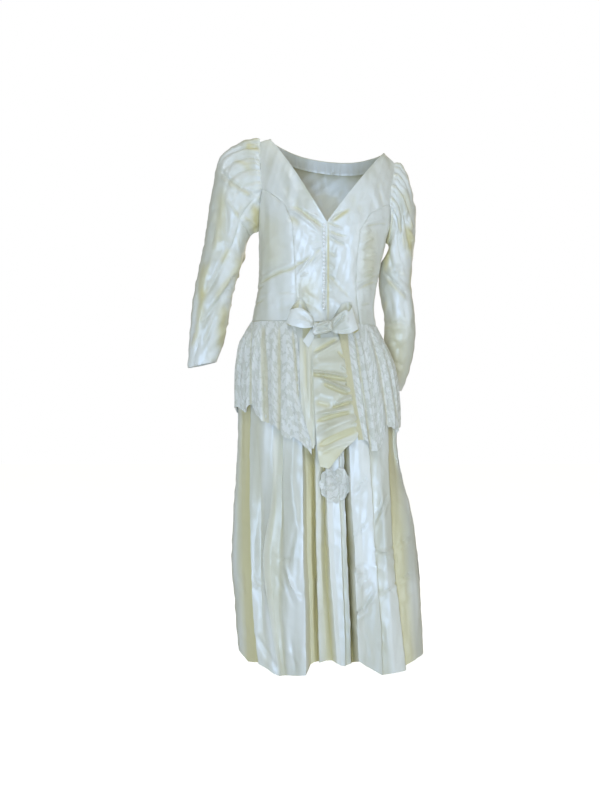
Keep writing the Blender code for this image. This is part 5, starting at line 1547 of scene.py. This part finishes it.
def build_skirt(finish, lace_finish):
    """The two halves of the skirt, and the lace over them; gives back the front half."""
    front_grid, front_fold = skirt(front_fold_lines(), back=False)
    back_grid, back_fold = skirt(back_fold_lines(), back=True)
    front = add_sheet("skirt_front", front_grid, finish, fold=front_fold)
    add_sheet("skirt_back", back_grid, finish, fold=back_fold)
    quarter = np.pi / 2
    gap = SEAM_GAP / SKIRT_HALF_WIDTH
    panels = (
        ("lace_front_left", lambda z: np.full(np.shape(z), -quarter + gap),
         lambda z: angle_at(read(LACE_FRONT_EDGE, "z", "left", z), z), LACE_LOW_LEFT),
        ("lace_front_right", lambda z: angle_at(read(LACE_FRONT_EDGE, "z", "right", z), z),
         lambda z: np.full(np.shape(z), quarter - gap), LACE_LOW_RIGHT),
        ("lace_back", lambda z: np.full(np.shape(z), quarter + gap),
         lambda z: np.full(np.shape(z), 3 * quarter - gap), LACE_LOW_BACK),
    )
    for seed, (node, start, stop, low) in enumerate(panels):
        grid, band = lace(start, stop, low, LACE_WAVES[node], seed)
        # A beige band along the right panel's front edge, in the same colour as the painted trough shade
        if node == "lace_front_right":
            wide = np.linspace(LACE_BAND[1], LACE_BAND[0], len(grid))[:, None]
            band = np.maximum(band, ease((wide - run_across(grid)) / LACE_BAND_BLEND))
        add_sheet(node, grid, lace_finish, fold=band, wall=LACE_WALL)
    return front


def build_trim(finish, lace_finish, skirt_front):
    """Drape, sash, lace motif and bow on the front; gives back the motif."""
    drape, tint = laid_strip(DRAPE, DRAPE_GRID, DRAPE_CREASES, SEEDS["strip"])
    # Painted shade in the drape's troughs and at its lower tip, and the whole drape a little darker and
    # warmer
    tip = (DRAPE_TIP_Z[0] - drape[..., 2]) / (DRAPE_TIP_Z[0] - DRAPE_TIP_Z[1])
    tint = np.maximum(tint, DRAPE_TIP_PAINTED_SHADE * ease(tip)) + DRAPE_TINT
    add_sheet("drape_panel", drape, finish, fold=tint)
    sash, tint = laid_strip(SASH, SASH_GRID, SASH_CREASES, SEEDS["strip"])
    # The sash is painted in shade all over
    add_sheet("sash_end", sash, finish, fold=tint + SASH_PAINTED_SHADE)
    end, tint = laid_strip(BOW_END, BOW_END_GRID, BOW_CREASES, SEEDS["bow_end"])
    add_sheet("bow_end", end, finish, fold=tint)
    surface = front_surface(skirt_front)
    x, z = lobed_places()
    y = np.array([[surface(px, pz) for px, pz in zip(*row)] for row in zip(x, z)], float)
    y = np.minimum(y, np.median(y)) - APPLIQUE_OUT
    motif = np.stack([x, y, z], axis=-1)
    applique = add_sheet("skirt_applique", motif, lace_finish,
                         closed=True, wall=LACE_WALL)
    left, tint = bow_loop(BOW_LEFT, BOW_CREASES, "bow_loop_left")
    add_sheet("bow_loop_left", left[:, ::-1], finish,
              fold=tint[:, ::-1])
    right, tint = bow_loop(BOW_RIGHT, BOW_CREASES, "bow_loop_right")
    add_sheet("bow_loop_right", right, finish, fold=tint)
    knot = cloth("bow_knot_cloth", knot_grid(), finish, closed=True)
    stand_in(knot, "bow_knot")
    return applique


def build_fastening(button_finish, pearl_finish, applique):
    """Covered buttons and their loops where the solids' buttons are, and the motif's pearls."""
    names = [f"button_{number + 1:02d}" for number in range(BUTTONS)]
    middles = [(np.array(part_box(name)[0]) + np.array(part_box(name)[1])) / 2 for name in names]
    middles = [middle - np.array([0, BUTTON_OUT, 0]) * MM for middle in middles]
    buttons = grown("covered_buttons", middles, button_tree(button_finish),
                    {"Radius": BUTTON_RADIUS * MM, "Dome": BUTTON_DOME * MM}, button_finish)
    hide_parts(*names)
    offset = np.array([LOOP_REACH * LOOP_ASIDE, LOOP_OUT, 0]) * MM
    loops = grown("button_loops", [middle + offset for middle in middles], loop_tree(button_finish),
                  {"Reach": LOOP_REACH * MM, "Wire": LOOP_WIRE * MM}, button_finish)
    beads = grown("sewn_pearls", applique.data, bead_tree(pearl_finish),
                  {"Radius": PEARL_RADIUS * MM, "Density": PEARL_DENSITY}, pearl_finish)
    for piece, slot in ((buttons, "satin_button"), (loops, "satin_button"), (beads, "lace")):
        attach(piece, "root")


def add_light(lamp):
    """Soft box that faces a point."""
    box = bpy.data.lights.new(lamp.name, "AREA")
    box.shape = "RECTANGLE"
    box.size, box.size_y = lamp.size
    box.energy = lamp.power
    box.spread = np.radians(lamp.spread)
    box.color = linear(lamp.colour)[:3]
    made = bpy.data.objects.new(lamp.name, box)
    made.location = lamp.place
    towards = Vector(lamp.target) - Vector(lamp.place)
    made.rotation_euler = towards.to_track_quat("-Z", "Y").to_euler()
    made.visible_camera = False
    bpy.context.scene.collection.objects.link(made)


def build_studio():
    """Camera, soft boxes, white floor and a pale surround."""
    data = bpy.data.cameras.new("photo_camera")
    data.lens = CAMERA_LENS
    data.clip_end = 50
    camera = bpy.data.objects.new("photo_camera", data)
    camera.location = CAMERA_PLACE
    camera.rotation_euler = (np.pi / 2, 0, 0)
    bpy.context.scene.collection.objects.link(camera)
    bpy.context.scene.camera = camera
    for lamp in LAMPS:
        add_light(lamp)
    floor = bpy.data.meshes.new("studio_floor")
    floor.from_pydata([(x, y, FLOOR_Z) for x, y in FLOOR_CORNERS], [], [(0, 1, 2, 3)])
    floor.materials.append(studio_white())
    ground = bpy.data.objects.new("studio_floor", floor)
    bpy.context.scene.collection.objects.link(ground)
    world = bpy.data.worlds.new("soft_studio")
    world.use_nodes = True
    tree = world.node_tree
    tree.nodes.clear()
    seen = add_node(tree, "ShaderNodeLightPath").outputs["Is Camera Ray"]
    strength = add_node(tree, "ShaderNodeMapRange", values={"To Min": WORLD_LIGHT, "To Max": 1.0},
                        links={"Value": seen}).outputs["Result"]
    light = add_node(tree, "ShaderNodeMix", {"data_type": "RGBA"},
                     {0: seen, 6: linear(WORLD_TINT), 7: (1, 1, 1, 1)}).outputs[2]
    sky = add_node(tree, "ShaderNodeBackground", links={"Color": light, "Strength": strength})
    add_node(tree, "ShaderNodeOutputWorld", links={"Surface": sky.outputs["Background"]})
    bpy.context.scene.world = world
    bpy.context.scene.view_settings.view_transform = "Standard"


satin_finish = satin("duchess_satin", IVORY, IVORY_AGED)
lace_finish = lace_cloth()
build_studio()
build_bodice(satin_finish)
skirt_front_cloth = build_skirt(satin_finish, lace_finish)
motif_cloth = build_trim(satin_finish, lace_finish, skirt_front_cloth)
build_fastening(satin("button_satin", BUTTON_IVORY, BUTTON_SHADE), pearl(), motif_cloth)
